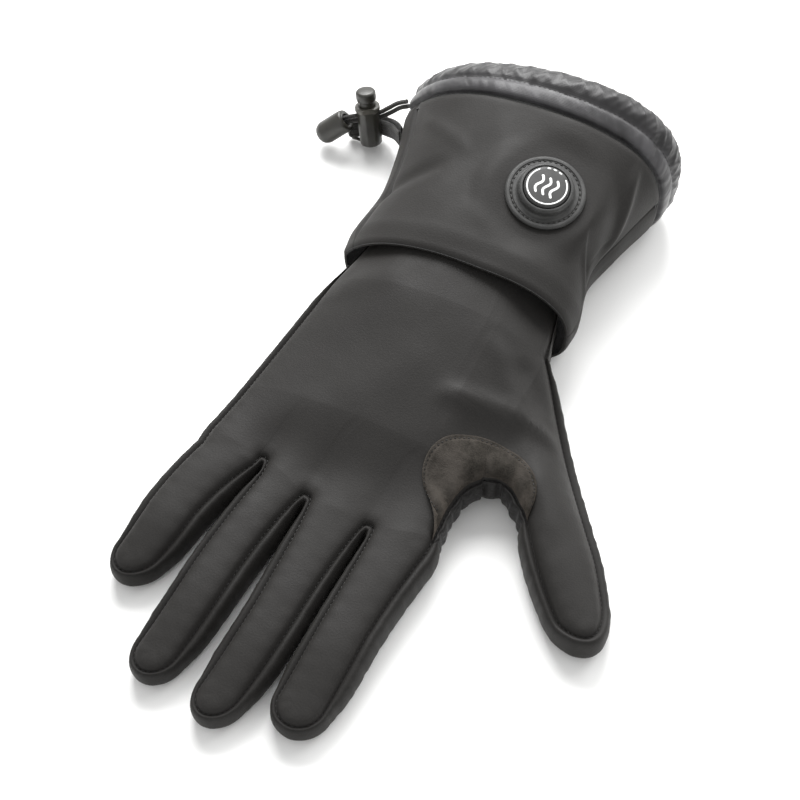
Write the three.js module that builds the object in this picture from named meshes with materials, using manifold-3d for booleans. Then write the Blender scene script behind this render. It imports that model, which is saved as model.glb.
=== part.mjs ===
// Heated glove, right hand, lying palm down. Millimetres, +Z up, fingers towards -Y, thumb towards +X.
// The origin is on the table under the middle of the palm.
import * as THREE from "three";
import { mergeVertices } from "three/addons/utils/BufferGeometryUtils.js";
import Module from "manifold-3d";

const wasm = await Module();
wasm.setup();

// Walls and clearances
const softshellWall = 2.4;
const palmWall = 2.2;
const sideWall = 2.2;
const fourchetteWall = 1.5;
const gussetWall = 1.5;
const patchWall = 0.9;
const cuffWall = 2.8;
const tunnelWall = 1.6;
const seamGap = 0.3;
const patchGap = 0.6;

// The hand
const palmWidth = 97;
const fingertipReach = 147;
const wristReach = 62;
const fingerWidth = 20;
const fingerHeight = 17;
const fingerCrown = 2.6;
const fingerTaper = 0.14;
const tipStart = 0.88;
const fingertipRadius = 8.5;
const handDepth = 42;
const thumbTipRounding = 0.07;
const sideBulge = 0.6;
const indexBulge = 2.4;
const fourchetteBulge = 0.7;
const crownFullness = 2.3;
const underTuck = 3;
const leastMitre = 0.62;
const patchRadius = 22;
const patchDepth = 17.5;
const patchAcross = 0.439;
const patchAlong = 0.16;
const patchFromTurn = 246;
const patchToTurn = -2;

// The cuff and its tunnel
const cuffWidth = 108;
const cuffDepth = 58;
const cuffLength = 76;
const cuffHemPlace = 52;
const crownShift = 8;
const waistShare = 0.42;
const underFullness = 1.6;
const underPower = 0.72;
const underSideFullness = 0.6;
const leftFullness = 0.95;
const rightFullness = 0.86;
const leftRise = 1.4;
const rightRise = 0.92;
const leftSeamDegrees = 158;
const rightSeamDegrees = 2;
const slitLowDegrees = 181.5;
const slitHighDegrees = 171;
const tunnelLength = 20;
const tunnelSwell = 2.2;
const swellPace = 1.15;
const tunnelDraw = 2.4;
const tunnelGathers = 16;
const gatherDepth = 1.1;

// The power button
const buttonAcross = 18.5;
const buttonAlong = 92;
const seatSink = 1.3;
const pressedShare = 0.62;
const freeShare = 0.95;
const flangeDiameter = 32.5;
const flangeThickness = 1.8;
const housingDiameter = 22.4;
const housingWall = 1.7;
const housingHeight = 5.6;
const housingFloor = 1.4;
const capProud = 0.9;
const capBevel = 0.9;
const buttonTravel = 0.8;

// The cord lock, its cord and its tape
const cordDiameter = 2;
const cordGap = 0.3;
const lockDiameter = 10;
const lockHeight = 20.5;
const lockRim = 0.5;
const lockRimHeight = 2;
const lockFloor = 3;
const plungerDiameter = 6.8;
const plungerHeadDiameter = 8.8;
const plungerHeadHeight = 5;
const plungerTravel = 2.5;
const slideGap = 0.3;
const cordHeight = 15;
const tapeWidth = 8;
const tapeThickness = 1.1;
const tapeHeight = 5.9;
const tapeEnd = 1.2;
const tapeApart = 1.4;
const tapeSewnHeight = 15.5;
const barDiameter = 1.8;
const barOut = 4.6;
const barBehind = -7.6;
const armThickness = 1.2;
const bellDiameter = 9;
const bellLength = 14;
const bellSocket = 6;

// Where the lock stands: how far its foot is from the cuff's side, the way that it leans, and the way
// that the cord goes through it
const anchorAlong = 0.93;
const lockOut = 15.6;
const lockFootHeight = 3;
const lockLean = [-0.2055, 0.2165, 0.954];
const cordLean = [-0.826, -0.561, -0.051];
const slitAlong = 0.18;

// Faces round and along each kind of piece
const acrossFinger = 5;
const fingerSteps = 6;
const thumbSteps = 14;
const gussetThumbSteps = 8;
const palmFirstSteps = 5;
const palmThumbSteps = 6;
const palmLastSteps = 3;
const wallSteps = 3;
const patchSteps = 4;
const cuffSteps = 20;
const cuffBackSteps = 7;
const cuffPalmSteps = 4;
const tunnelSteps = 60;
const tunnelRowSteps = 2;
const buttonSides = 36;
const lockSides = 24;
const bellSides = 20;
const barSides = 10;
const cordSides = 8;
const strandSteps = 16;
const tapeSteps = 30;

const material = (color, roughness) => new THREE.MeshStandardMaterial({ color, roughness });
const softshell = material(0x454341, 0.72);
const suede = material(0x4d453f, 0.95);
const leather = material(0x3c3733, 0.6);
const nylon = material(0x67626a, 0.42);
const elastic = material(0x3b3a37, 0.85);
const plastic = material(0x55524a, 0.38);
const rubber = material(0x62625f, 0.55);

// Every finger: the place of its centre line across the palm at root, middle and tip, its width at
// the same places, where its tip is, and where the crotch line crosses its two edges.
const fingers = [
  {
    name: "little",
    root: -0.522, mid: -0.589, tip: -0.64, rootWidth: 1.18, midWidth: 1.02, tipWidth: 0.86,
    start: 0.34, end: 0.754, left: 0.313, right: 0.323,
  },
  {
    name: "ring",
    root: -0.266, mid: -0.317, tip: -0.363, rootWidth: 0.86, midWidth: 0.92, tipWidth: 0.86,
    start: 0.354, end: 0.966, left: 0.327, right: 0.374,
  },
  {
    name: "middle",
    root: -0.01, mid: -0.027, tip: -0.078, rootWidth: 1.03, midWidth: 0.93, tipWidth: 0.84,
    start: 0.381, end: 1, left: 0.381, right: 0.388,
  },
  {
    name: "index",
    root: 0.272, mid: 0.23, tip: 0.202, rootWidth: 1.12, midWidth: 1, tipWidth: 0.96,
    start: 0.381, end: 0.939, left: 0.388, right: 0.354,
  },
];

// The palm from the crotch line to the wrist: place along it (shares of the fingertip reach below
// zero, of the wrist reach above), its two edges (shares of its width), and its heights there and in
// the middle (shares of its depth).
const palmRows = [
  { along: -0.39, left: -0.65, right: 0.388, leftZ: 0.405, midZ: 0.48, rightZ: 0.405 },
  { along: -0.265, left: -0.63, right: 0.391, leftZ: 0.41, midZ: 0.53, rightZ: 0.41 },
  { along: -0.21, left: -0.622, right: 0.402, leftZ: 0.415, midZ: 0.57, rightZ: 0.42 },
  { along: -0.17, left: -0.613, right: 0.424, leftZ: 0.42, midZ: 0.6, rightZ: 0.435 },
  { along: -0.136, left: -0.605, right: 0.464, leftZ: 0.425, midZ: 0.63, rightZ: 0.46 },
  { along: 0.0, left: -0.575, right: 0.468, leftZ: 0.45, midZ: 0.72, rightZ: 0.63 },
  { along: 0.3, left: -0.545, right: 0.472, leftZ: 0.49, midZ: 0.84, rightZ: 0.66 },
  { along: 0.58, left: -0.517, right: 0.474, leftZ: 0.53, midZ: 0.94, rightZ: 0.62 },
  { along: 0.86, left: -0.475, right: 0.44, leftZ: 0.56, midZ: 0.97, rightZ: 0.58 },
  { along: 1, left: -0.455, right: 0.42, leftZ: 0.58, midZ: 1, rightZ: 0.58 },
];

// The thumb from its base to its tip: its inner and outer edge (across as shares of the palm's width,
// along as shares of the fingertip reach) and its heights at both edges and in the middle (shares of
// the depth).
const thumbRows = [
  { innerX: 0.464, innerY: -0.136, outerX: 0.474, outerY: 0.245, innerZ: 0.46, midZ: 0.68, outerZ: 0.62 },
  { innerX: 0.51, innerY: -0.131, outerX: 0.524, outerY: 0.204, innerZ: 0.46, midZ: 0.64, outerZ: 0.5 },
  { innerX: 0.567, innerY: -0.148, outerX: 0.595, outerY: 0.139, innerZ: 0.45, midZ: 0.6, outerZ: 0.38 },
  { innerX: 0.619, innerY: -0.177, outerX: 0.683, outerY: 0.061, innerZ: 0.44, midZ: 0.57, outerZ: 0.3 },
  { innerX: 0.66, innerY: -0.204, outerX: 0.792, outerY: -0.034, innerZ: 0.43, midZ: 0.55, outerZ: 0.26 },
  { innerX: 0.763, innerY: -0.299, outerX: 0.902, outerY: -0.129, innerZ: 0.41, midZ: 0.52, outerZ: 0.26 },
  { innerX: 0.866, innerY: -0.381, outerX: 1.012, outerY: -0.231, innerZ: 0.38, midZ: 0.48, outerZ: 0.29 },
  { innerX: 0.985, innerY: -0.474, outerX: 1.15, outerY: -0.408, innerZ: 0.34, midZ: 0.4, outerZ: 0.33 },
];

// Folds in the back: from and to (across as shares of the palm's width, along as shares of the wrist
// reach), with width and height as shares of the finger's width. A negative height is a dent.
const folds = [
  { fromX: 0.12, fromY: 0.02, toX: 0.6, toY: 0.2, width: 0.26, height: 0.07 },
  { fromX: 0.3, fromY: 0.34, toX: 0.6, toY: 0.2, width: 0.22, height: 0.07 },
  { fromX: 0.34, fromY: 0.1, toX: 0.46, toY: 0.16, width: 0.24, height: -0.09 },
  { fromX: 0.4, fromY: 0.42, toX: 0.5, toY: 0.36, width: 0.26, height: -0.08 },
];

// The cuff from hem to opening: place along it, its left and right edge, and its top.
const cuffRows = [
  { along: 0, left: -0.508, right: 0.465, top: 0.805 },
  { along: 0.18, left: -0.494, right: 0.458, top: 0.82 },
  { along: 0.42, left: -0.472, right: 0.44, top: 0.87 },
  { along: 0.68, left: -0.492, right: 0.498, top: 0.93 },
  { along: 1, left: -0.55, right: 0.54, top: 1 },
];

// Diagonal creases in the cuff: place round it (degrees from the right side, over the top) and along
// it, at both ends, with width along the cuff and depth as shares of the finger's width.
const cuffCreases = [
  { fromTurn: 8, toTurn: 62, fromAlong: 0.28, toAlong: 0.72, width: 0.22, height: -0.1 },
  { fromTurn: 4, toTurn: 48, fromAlong: 0.5, toAlong: 0.95, width: 0.22, height: 0.08 },
  { fromTurn: 120, toTurn: 172, fromAlong: 0.55, toAlong: 0.3, width: 0.2, height: -0.06 },
];

// How much of the tuck the fingers' sides, the crotches and the thumb's tip take.
const fingerTuck = 0.75;
const crotchTuck = 0.5;
const tipTuckShare = 1.2;

const mix = (a, b, share) => a + (b - a) * share;
const step = (edge0, edge1, value) => THREE.MathUtils.smoothstep(value, edge0, edge1);
const reach = (share) => share * (share < 0 ? fingertipReach : wristReach);

// A smooth curve through a table's rows: Hermite pieces whose slopes are the mean of their
// neighbours' chords.
function read(rows, places, key, place) {
  const last = rows.length - 1;
  let k = 0;
  while (k < last - 1 && place > places[k + 1]) k++;
  const slope = (i) => {
    const low = Math.max(0, i - 1);
    const high = Math.min(last, i + 1);
    return (rows[high][key] - rows[low][key]) / (places[high] - places[low]);
  };
  const span = places[k + 1] - places[k];
  const t = THREE.MathUtils.clamp((place - places[k]) / span, 0, 1);
  const t2 = t * t;
  const t3 = t2 * t;
  return (
    (2 * t3 - 3 * t2 + 1) * rows[k][key] +
    (t3 - 2 * t2 + t) * span * slope(k) +
    (3 * t2 - 2 * t3) * rows[k + 1][key] +
    (t3 - t2) * span * slope(k + 1)
  );
}

// Points spread as on a half circle, from -1 to 1, so that round ends get even steps.
const spread = (k, count) => -Math.cos((Math.PI * k) / count);

// The height that all folds together add at a place.
function foldHeight(x, y) {
  let sum = 0;
  for (const fold of folds) {
    const ax = fold.fromX * palmWidth;
    const ay = fold.fromY * wristReach;
    const bx = fold.toX * palmWidth - ax;
    const by = fold.toY * wristReach - ay;
    const t = THREE.MathUtils.clamp(((x - ax) * bx + (y - ay) * by) / (bx * bx + by * by), 0, 1);
    const away = Math.hypot(x - ax - t * bx, y - ay - t * by) / (fold.width * fingerWidth);
    sum += fold.height * fingerWidth * Math.exp(-away * away);
  }
  return sum;
}

// One finger's centre, width and edge height, a share t down its length.
function fingerAt(finger, t) {
  const curve = (a, b, c) => mix(mix(a, b, Math.min(1, 2 * t)), mix(b, c, Math.max(0, 2 * t - 1)), t);
  return {
    centre: curve(finger.root, finger.mid, finger.tip) * palmWidth,
    width: curve(finger.rootWidth, finger.midWidth, finger.tipWidth) * fingerWidth,
    edge: fingerHeight * (1 - fingerTaper * t * t),
  };
}

// The point of a finger a share t from the crotch line to its tip and u across it, from -1 to 1. The
// tuck draws its edges in, as on the underside.
function fingerPoint(finger, u, t, tuck) {
  const rootY = -mix(finger.left, finger.right, (u + 1) / 2) * fingertipReach + crotchTuck * tuck;
  const rounding = fingertipRadius * (1 - Math.sqrt(Math.max(0, 1 - u * u)));
  const tipY = tuck - finger.end * fingertipReach + rounding;
  const y = mix(rootY, tipY, t);
  const below = (-y / fingertipReach - finger.start) / (finger.end - finger.start);
  const down = THREE.MathUtils.clamp(below, 0, 1);
  const here = fingerAt(finger, down);
  const tipDrop = fingerCrown * step(tipStart, 1, t);
  return new THREE.Vector3(
    here.centre + u * (here.width / 2 - fingerTuck * tuck),
    y,
    here.edge + fingerCrown * (1 - u * u) - tipDrop * (1 - u * u),
  );
}

const palmPlaces = palmRows.map((row) => reach(row.along));
const thumbPlaces = thumbRows.map((row, k) => k / (thumbRows.length - 1));
const thumbStart = palmPlaces[4];
const thumbStop = palmPlaces[7];

// The palm's columns on the crotch line: for each finger its own steps across, then the gap to the next.
const columns = [];
for (const finger of fingers)
  for (let k = 0; k <= acrossFinger; k++) columns.push({ finger, u: spread(k, acrossFinger) });

// The places of the palm's rows, from the crotch line to the wrist.
const palmPlacesBuilt = [];
for (let k = 1; k <= palmFirstSteps; k++) {
  palmPlacesBuilt.push({ blend: k / palmFirstSteps, y: thumbStart });
}
for (let k = 1; k <= palmThumbSteps; k++)
  palmPlacesBuilt.push({ blend: 1, y: mix(thumbStart, thumbStop, (spread(k, palmThumbSteps) + 1) / 2) });
for (let k = 1; k <= palmLastSteps; k++)
  palmPlacesBuilt.push({ blend: 1, y: mix(thumbStop, wristReach, k / palmLastSteps) });

// The palm's point in a row, a share s across it from its left edge.
function palmPoint(s, y, tuck) {
  const rowAt = (key) => read(palmRows, palmPlaces, key, y);
  const left = rowAt("left") * palmWidth + tuck;
  const right = rowAt("right") * palmWidth - tuck;
  const x = mix(left, right, s);
  const low = mix(rowAt("leftZ"), rowAt("rightZ"), s);
  const arch = rowAt("midZ") - (rowAt("leftZ") + rowAt("rightZ")) / 2;
  const crown = 1 - Math.pow(Math.abs(2 * s - 1), crownFullness);
  return new THREE.Vector3(x, y, (low + arch * crown) * handDepth);
}

// The thumb's point a share t from base to tip and u across it, from the inner edge at -1 to the
// outer at 1.
function thumbPoint(u, t, tuck) {
  const place = t * (1 - thumbTipRounding * (1 - Math.sqrt(Math.max(0, 1 - u * u))));
  const rowAt = (key) => read(thumbRows, thumbPlaces, key, place);
  const s = (u + 1) / 2;
  const low = mix(rowAt("innerZ"), rowAt("outerZ"), s);
  const arch = rowAt("midZ") - (rowAt("innerZ") + rowAt("outerZ")) / 2;
  const crown = 1 - Math.pow(Math.abs(u), crownFullness);
  const inner = new THREE.Vector2(rowAt("innerX") * palmWidth, rowAt("innerY") * fingertipReach);
  const outer = new THREE.Vector2(rowAt("outerX") * palmWidth, rowAt("outerY") * fingertipReach);
  const across = outer.clone().sub(inner).setLength(tuck);
  const draw = step(0, 0.3, t);
  inner.add(across);
  outer.addScaledVector(across, -1);
  inner.lerp(outer, s);
  const back = new THREE.Vector2(-across.y, across.x).multiplyScalar(tipTuckShare * t * draw);
  return new THREE.Vector3(inner.x + back.x, inner.y + back.y, (low + arch * crown) * handDepth);
}

// The hand's plan as one sheet of vertices and quads. Its outline runs from the left wrist round the
// fingers and the thumb to the right wrist, each point with the name of the strip that is sewn along
// it.
function handSheet(tuck) {
  const points = [];
  const quads = [];
  const outline = [];
  const add = (point) => points.push(point) - 1;
  const crotchPoints = columns.map(({ finger, u }) => fingerPoint(finger, u, 0, tuck));
  const firstX = crotchPoints[0].x;
  const lastX = crotchPoints[crotchPoints.length - 1].x;
  const grid = (rows) => {
    for (let r = 0; r + 1 < rows.length; r++)
      for (let c = 0; c + 1 < rows[r].length; c++)
        quads.push([rows[r][c], rows[r][c + 1], rows[r + 1][c + 1], rows[r + 1][c]]);
  };
  const palm = [crotchPoints.map((point) => add(point.clone()))];
  for (const { blend, y } of palmPlacesBuilt) {
    const row = crotchPoints.map((start, c) => {
      const s = (start.x - firstX) / (lastX - firstX);
      const place = mix(start.y, y, blend);
      const point = palmPoint(s, place, tuck);
      const settle = step(0, 1, Math.min(1, (place - start.y) / (thumbStart - start.y)));
      point.x = mix(point.x + (start.x - palmPoint(s, start.y, tuck).x) * (1 - settle), point.x, settle);
      const dip = 1 - columns[c].u * columns[c].u;
      point.z = mix(fingerHeight + fingerCrown * dip, point.z, settle);
      point.z += foldHeight(point.x, point.y) * settle;
      return add(point);
    });
    palm.push(row);
  }
  for (let r = 0; r + 1 < palm.length; r++)
    for (let c = 0; c + 1 < palm[r].length; c++)
      quads.push([palm[r][c], palm[r][c + 1], palm[r + 1][c + 1], palm[r + 1][c]]);
  const fingerRows = fingers.map((finger, f) => {
    const first = f * (acrossFinger + 1);
    const rows = [palm[0].slice(first, first + acrossFinger + 1)];
    for (let r = 1; r <= fingerSteps; r++) {
      const row = [];
      for (let k = 0; k <= acrossFinger; k++)
        row.push(add(fingerPoint(finger, spread(k, acrossFinger), r / fingerSteps, tuck)));
      rows.push(row);
    }
    grid([...rows].reverse());
    return rows;
  });
  const right = palm[0].length - 1;
  const base = [];
  for (let k = 0; k <= palmThumbSteps; k++) base.push(palm[palmFirstSteps + k][right]);
  const thumb = [base];
  for (let r = 1; r <= thumbSteps; r++) {
    const row = [];
    for (let k = 0; k <= palmThumbSteps; k++) {
      const point = thumbPoint(spread(k, palmThumbSteps), r / thumbSteps, tuck);
      point.z += foldHeight(point.x, point.y) * (1 - r / thumbSteps);
      row.push(add(point));
    }
    thumb.push(row);
  }
  for (let r = 0; r + 1 < thumb.length; r++)
    for (let c = 0; c < palmThumbSteps; c++)
      quads.push([thumb[r][c], thumb[r + 1][c], thumb[r + 1][c + 1], thumb[r][c + 1]]);

  const strip = (name, indices) => outline.push({ name, indices });
  const side = (rows, column) => rows.map((row) => row[column]);
  const wrist = [...palm].reverse().map((row) => row[0]);
  const names = [
    "side_wall_ulnar",
    "fourchette_little_ring",
    "fourchette_ring_middle",
    "fourchette_middle_index",
  ];
  let lead = wrist;
  fingerRows.forEach((rows, f) => {
    const tip = rows[fingerSteps];
    strip(names[f], [...lead, ...side(rows, 0).slice(1), ...tip.slice(1)]);
    const back = side(rows, acrossFinger).reverse();
    if (f + 1 < fingerRows.length) lead = back.concat(fingerRows[f + 1][0][0]);
    else strip("index_side_strip", back);
  });
  const gusset = palm.slice(0, palmFirstSteps + 1).map((row) => row[right]);
  const inner = side(thumb, 0);
  strip("crotch_gusset", gusset.concat(inner.slice(1, gussetThumbSteps + 1)));
  const outer = side(thumb, palmThumbSteps).reverse();
  const above = palm.slice(palmFirstSteps + palmThumbSteps + 1).map((row) => row[right]);
  const end = thumb[thumbSteps].slice(1);
  strip("thumb_side_strip", [...inner.slice(gussetThumbSteps), ...end, ...outer.slice(1), ...above]);
  return { points, quads, outline };
}

// A closed solid from a list of points and triangles.
function solid(points, triangles) {
  const geometry = new THREE.BufferGeometry();
  const places = points.flatMap((p) => [p.x, p.y, p.z]);
  geometry.setAttribute("position", new THREE.Float32BufferAttribute(places, 3));
  geometry.setIndex(triangles.flat());
  geometry.computeVertexNormals();
  return geometry;
}

const halves = ([a, b, c, d]) => [
  [a, b, c],
  [a, c, d],
];

// A wall from a sheet of quads: the sheet, its copy at the places that inside() gives, and a rim
// along every edge that only one quad has.
function wall(points, quads, inside) {
  const count = points.length;
  const all = [...points, ...points.map(inside)];
  const triangles = [];
  const edges = new Map();
  for (const quad of quads) {
    triangles.push(...halves(quad));
    const [a, b, c, d] = quad.map((i) => i + count);
    triangles.push([a, c, b], [a, d, c]);
    quad.forEach((from, k) => {
      const to = quad[(k + 1) % quad.length];
      if (!edges.delete(to + "," + from)) edges.set(from + "," + to, [from, to]);
    });
  }
  for (const [from, to] of edges.values())
    triangles.push(...halves([to, from, from + count, to + count]));
  return solid(all, triangles);
}

// The mean normal at every point of a sheet of quads.
function normals(points, quads) {
  const sums = points.map(() => new THREE.Vector3());
  for (const [a, b, c, d] of quads) {
    const across = new THREE.Vector3().subVectors(points[c], points[a]);
    const normal = across.cross(new THREE.Vector3().subVectors(points[d], points[b]));
    for (const i of [a, b, c, d]) sums[i].add(normal);
  }
  return sums.map((sum) => sum.normalize());
}

// How far the hand's underside is lifted where it lies on the cuff's lower panel.
const underLift = (y) => (cuffWall + 2 * seamGap) * step(cuffHemPlace - 14, cuffHemPlace - 1.5, y);

const sheet = handSheet(0);
const underSheet = handSheet(underTuck);

function backPanel() {
  const outward = normals(sheet.points, sheet.quads);
  return wall(sheet.points, sheet.quads, (p, i) => p.clone().addScaledVector(outward[i], -softshellWall));
}

function palmPanel() {
  const flat = underSheet.points.map((p) => new THREE.Vector3(p.x, p.y, underLift(p.y)));
  const upward = sheet.quads.map(([a, b, c, d]) => [a, d, c, b]);
  return wall(flat, upward, (p) => new THREE.Vector3(p.x, p.y, p.z + palmWall));
}

// The level direction away from the hand at each point of the outline, lengthened at corners so that
// a strip keeps its distance from both sides. The hand lies to the left of the path.
function outwardAlong(path) {
  return path.map((p, i) => {
    const turn = (from, to) => new THREE.Vector2(to.x - from.x, to.y - from.y).normalize();
    const last = path.length - 1;
    const first = i > 0 ? turn(path[i - 1], p) : turn(p, path[1]);
    const second = i < last ? turn(p, path[i + 1]) : first;
    const mean = new THREE.Vector2(first.y + second.y, -(first.x + second.x)).normalize();
    return mean.multiplyScalar(1 / Math.max(leastMitre, Math.sqrt((1 + first.dot(second)) / 2)));
  });
}

const outlineIndices = sheet.outline.flatMap(({ indices }, i) => (i ? indices.slice(1) : indices));
const outlineOutward = outwardAlong(outlineIndices.map((i) => sheet.points[i]));
const outwardAt = new Map(outlineIndices.map((index, i) => [index, outlineOutward[i]]));

// A side strip: from the table (or the lifted underside) up to the back panel's edge, bulging
// outwards between.
function sideStrip(indices, thickness, bulge) {
  const shorten = (end, next) => end.add(next.clone().sub(end).setLength(seamGap / 2));
  const edgeOf = (source) => {
    const edge = indices.map((i) => source.points[i].clone());
    shorten(edge[0], edge[1]);
    shorten(edge[edge.length - 1], edge[edge.length - 2]);
    return edge;
  };
  const path = edgeOf(sheet);
  const under = edgeOf(underSheet);
  const outward = indices.map((i) => outwardAt.get(i));
  const inner = [];
  const outer = [];
  path.forEach((p, i) => {
    const low = underLift(p.y);
    for (let k = 0; k <= wallSteps; k++) {
      const v = k / wallSteps;
      const out = seamGap + bulge * Math.sin(Math.PI * v);
      const x = mix(under[i].x, p.x, v);
      const y = mix(under[i].y, p.y, v);
      const { x: acrossOut, y: alongOut } = outward[i];
      const place = (away) =>
        new THREE.Vector3(x + acrossOut * away, y + alongOut * away, mix(low, p.z, v));
      inner.push(place(out));
      outer.push(place(out + thickness));
    }
  });
  const quads = [];
  for (let i = 0; i + 1 < path.length; i++)
    for (let k = 0; k < wallSteps; k++) {
      const at = i * (wallSteps + 1) + k;
      quads.push([at, at + wallSteps + 1, at + wallSteps + 2, at + 1]);
    }
  return wall(outer, quads, (p, i) => inner[i]);
}

// The height of the back panel over a place, from the sheet's own triangles.
function heightOver(x, y) {
  for (const quad of sheet.quads)
    for (const triangle of halves(quad)) {
      const [a, b, c] = triangle.map((i) => sheet.points[i]);
      const area = (b.x - a.x) * (c.y - a.y) - (c.x - a.x) * (b.y - a.y);
      const v = ((x - a.x) * (c.y - a.y) - (c.x - a.x) * (y - a.y)) / area;
      const w = ((b.x - a.x) * (y - a.y) - (x - a.x) * (b.y - a.y)) / area;
      if (v >= -0.01 && w >= -0.01 && v + w <= 1.01) return a.z + v * (b.z - a.z) + w * (c.z - a.z);
    }
  throw new Error("no back panel over " + x + ", " + y);
}

// The suede crescent: from the crotch's outline to a circle about the crotch, on the back panel.
function crotchPatch() {
  const { indices } = sheet.outline.find((strip) => strip.name === "crotch_gusset");
  const edge = indices.map((i) => sheet.points[i]);
  const centreX = patchAcross * palmWidth;
  const centreY = -patchAlong * fingertipReach;
  const points = [];
  const quads = [];
  edge.forEach((p, i) => {
    const share = i / (edge.length - 1);
    const angle = THREE.MathUtils.degToRad(mix(patchFromTurn, patchToTurn, share));
    const farX = centreX + patchRadius * Math.cos(angle);
    const farY = centreY + patchDepth * Math.sin(angle);
    for (let k = 0; k <= patchSteps; k++) {
      const out = mix(0.03, 1, k / patchSteps);
      const x = mix(p.x, farX, out);
      const y = mix(p.y, farY, out);
      points.push(new THREE.Vector3(x, y, heightOver(x, y) + patchGap + patchWall));
    }
  });
  for (let i = 0; i + 1 < edge.length; i++)
    for (let k = 0; k < patchSteps; k++) {
      const at = i * (patchSteps + 1) + k;
      quads.push([at, at + patchSteps + 1, at + patchSteps + 2, at + 1]);
    }
  return wall(points, quads, (p) => new THREE.Vector3(p.x, p.y, p.z - patchWall));
}

const cuffPlaces = cuffRows.map((row) => row.along);

// The cuff's outer surface: turn in radians from the right side over the top, and the place along it
// from 0 at the hem to 1 at the tunnel's seam, or further on.
function cuffPoint(turn, along) {
  const place = Math.min(1, along);
  const left = read(cuffRows, cuffPlaces, "left", place) * cuffWidth;
  const right = read(cuffRows, cuffPlaces, "right", place) * cuffWidth;
  const top = read(cuffRows, cuffPlaces, "top", place) * cuffDepth;
  const waist = waistShare * top;
  const half = (right - left) / 2;
  const c = Math.cos(turn);
  const s = Math.sin(turn);
  const upperFullness = c < 0 ? leftFullness : rightFullness;
  const fullness = s < 0 ? underSideFullness : upperFullness;
  const rise = mix(c < 0 ? leftRise : rightRise, rightRise, s);
  const lean = s > 0 ? crownShift * s * s : 0;
  const x = (left + right) / 2 + half * Math.sign(c) * Math.pow(Math.abs(c), fullness) + lean;
  const under = waist - underFullness * waist * Math.pow(Math.max(0, -s), underPower);
  const z = s >= 0 ? waist + (top - waist) * Math.pow(s, rise) : Math.max(0, under);
  return new THREE.Vector3(x, cuffHemPlace + along * cuffLength, z);
}

// What the creases add to the cuff, away from its middle.
function creaseHeight(turn, along) {
  const degrees = THREE.MathUtils.radToDeg(turn);
  let sum = 0;
  for (const crease of cuffCreases) {
    const t = (degrees - crease.fromTurn) / (crease.toTurn - crease.fromTurn);
    const inside = step(0, 0.25, t) * (1 - step(0.75, 1, t));
    const middle = mix(crease.fromAlong, crease.toAlong, t);
    const away = ((along - middle) * cuffLength) / (crease.width * fingerWidth);
    sum += crease.height * fingerWidth * inside * Math.exp(-away * away);
  }
  return sum;
}

// The flat that the button is sewn on: its middle, and the direction away from the cuff.
const buttonShare = (buttonAlong - cuffHemPlace) / cuffLength;
let buttonTurn = Math.PI / 2;
for (let cut = Math.PI / 4; cut > 1e-4; cut /= 2)
  buttonTurn += cuffPoint(buttonTurn, buttonShare).x > buttonAcross ? cut : -cut;
const buttonSeat = cuffPoint(buttonTurn, buttonShare);
const besideTurn = 0.2;
const besideShare = 0.15;
const seatLeft = cuffPoint(buttonTurn + besideTurn, buttonShare);
const seatFront = cuffPoint(buttonTurn, buttonShare - besideShare);
const seatAcross = cuffPoint(buttonTurn - besideTurn, buttonShare).sub(seatLeft);
const seatAlong = cuffPoint(buttonTurn, buttonShare + besideShare).sub(seatFront);
const seatNormal = seatAcross.cross(seatAlong).normalize();
buttonSeat.addScaledVector(seatNormal, -seatSink);

// The cuff with its creases, pressed flat under the button.
function cuffSurface(turn, along) {
  const p = cuffPoint(turn, along);
  const push = creaseHeight(turn, along);
  p.x += push * Math.cos(turn);
  p.z = Math.max(0, p.z + push * Math.max(0, Math.sin(turn)));
  const over = p.clone().sub(buttonSeat);
  const height = over.dot(seatNormal);
  const away = Math.sqrt(Math.max(0, over.lengthSq() - height * height));
  const press = 1 - step(pressedShare * flangeDiameter, freeShare * flangeDiameter, away);
  return Math.abs(height) > cuffDepth / 4 ? p : p.addScaledVector(seatNormal, -height * press);
}

// A panel that runs round the cuff between two turns, with a surface given by turn and by place along it.
function ringPanel(surface, fromTurn, toTurn, around, rows, thickness) {
  const points = [];
  const quads = [];
  const outward = [];
  const near = 0.02;
  for (let i = 0; i <= around; i++)
    for (let k = 0; k <= rows; k++) {
      const turn = mix(fromTurn, toTurn, i / around);
      const v = k / rows;
      points.push(surface(turn, v));
      const round = surface(turn - near, v).sub(surface(turn + near, v));
      const along = surface(turn, v + near).sub(surface(turn, v - near));
      outward.push(round.cross(along).normalize());
    }
  for (let i = 0; i < around; i++)
    for (let k = 0; k < rows; k++) {
      const at = i * (rows + 1) + k;
      quads.push([at, at + 1, at + rows + 2, at + rows + 1]);
    }
  return wall(points, quads, (p, i) => p.clone().addScaledVector(outward[i], -thickness));
}

// The cuff's seams and the drawcord's slit, and the turn that a seam's gap covers at the cuff's side.
const leftSeamTurn = THREE.MathUtils.degToRad(leftSeamDegrees);
const rightSeamTurn = THREE.MathUtils.degToRad(rightSeamDegrees);
const slitLowTurn = THREE.MathUtils.degToRad(slitLowDegrees);
const slitHighTurn = THREE.MathUtils.degToRad(slitHighDegrees);
const seamTurn = seamGap / (waistShare * cuffDepth);

// The tunnel goes on from the cuff's edge: it swells between its seam and its mouth, and its gathers
// deepen towards the mouth.
function tunnelSurface(turn, v) {
  const p = cuffPoint(turn, 1);
  const gathers = gatherDepth * v * Math.sin(tunnelGathers * turn);
  const swell = tunnelSwell * Math.sin(Math.PI * Math.min(1, v * swellPace)) - tunnelDraw * v * v + gathers;
  p.y = cuffHemPlace + cuffLength + seamGap + v * tunnelLength;
  p.x += swell * Math.cos(turn);
  p.z = Math.max(0, p.z + swell * Math.max(0, Math.sin(turn)));
  return p;
}

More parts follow.
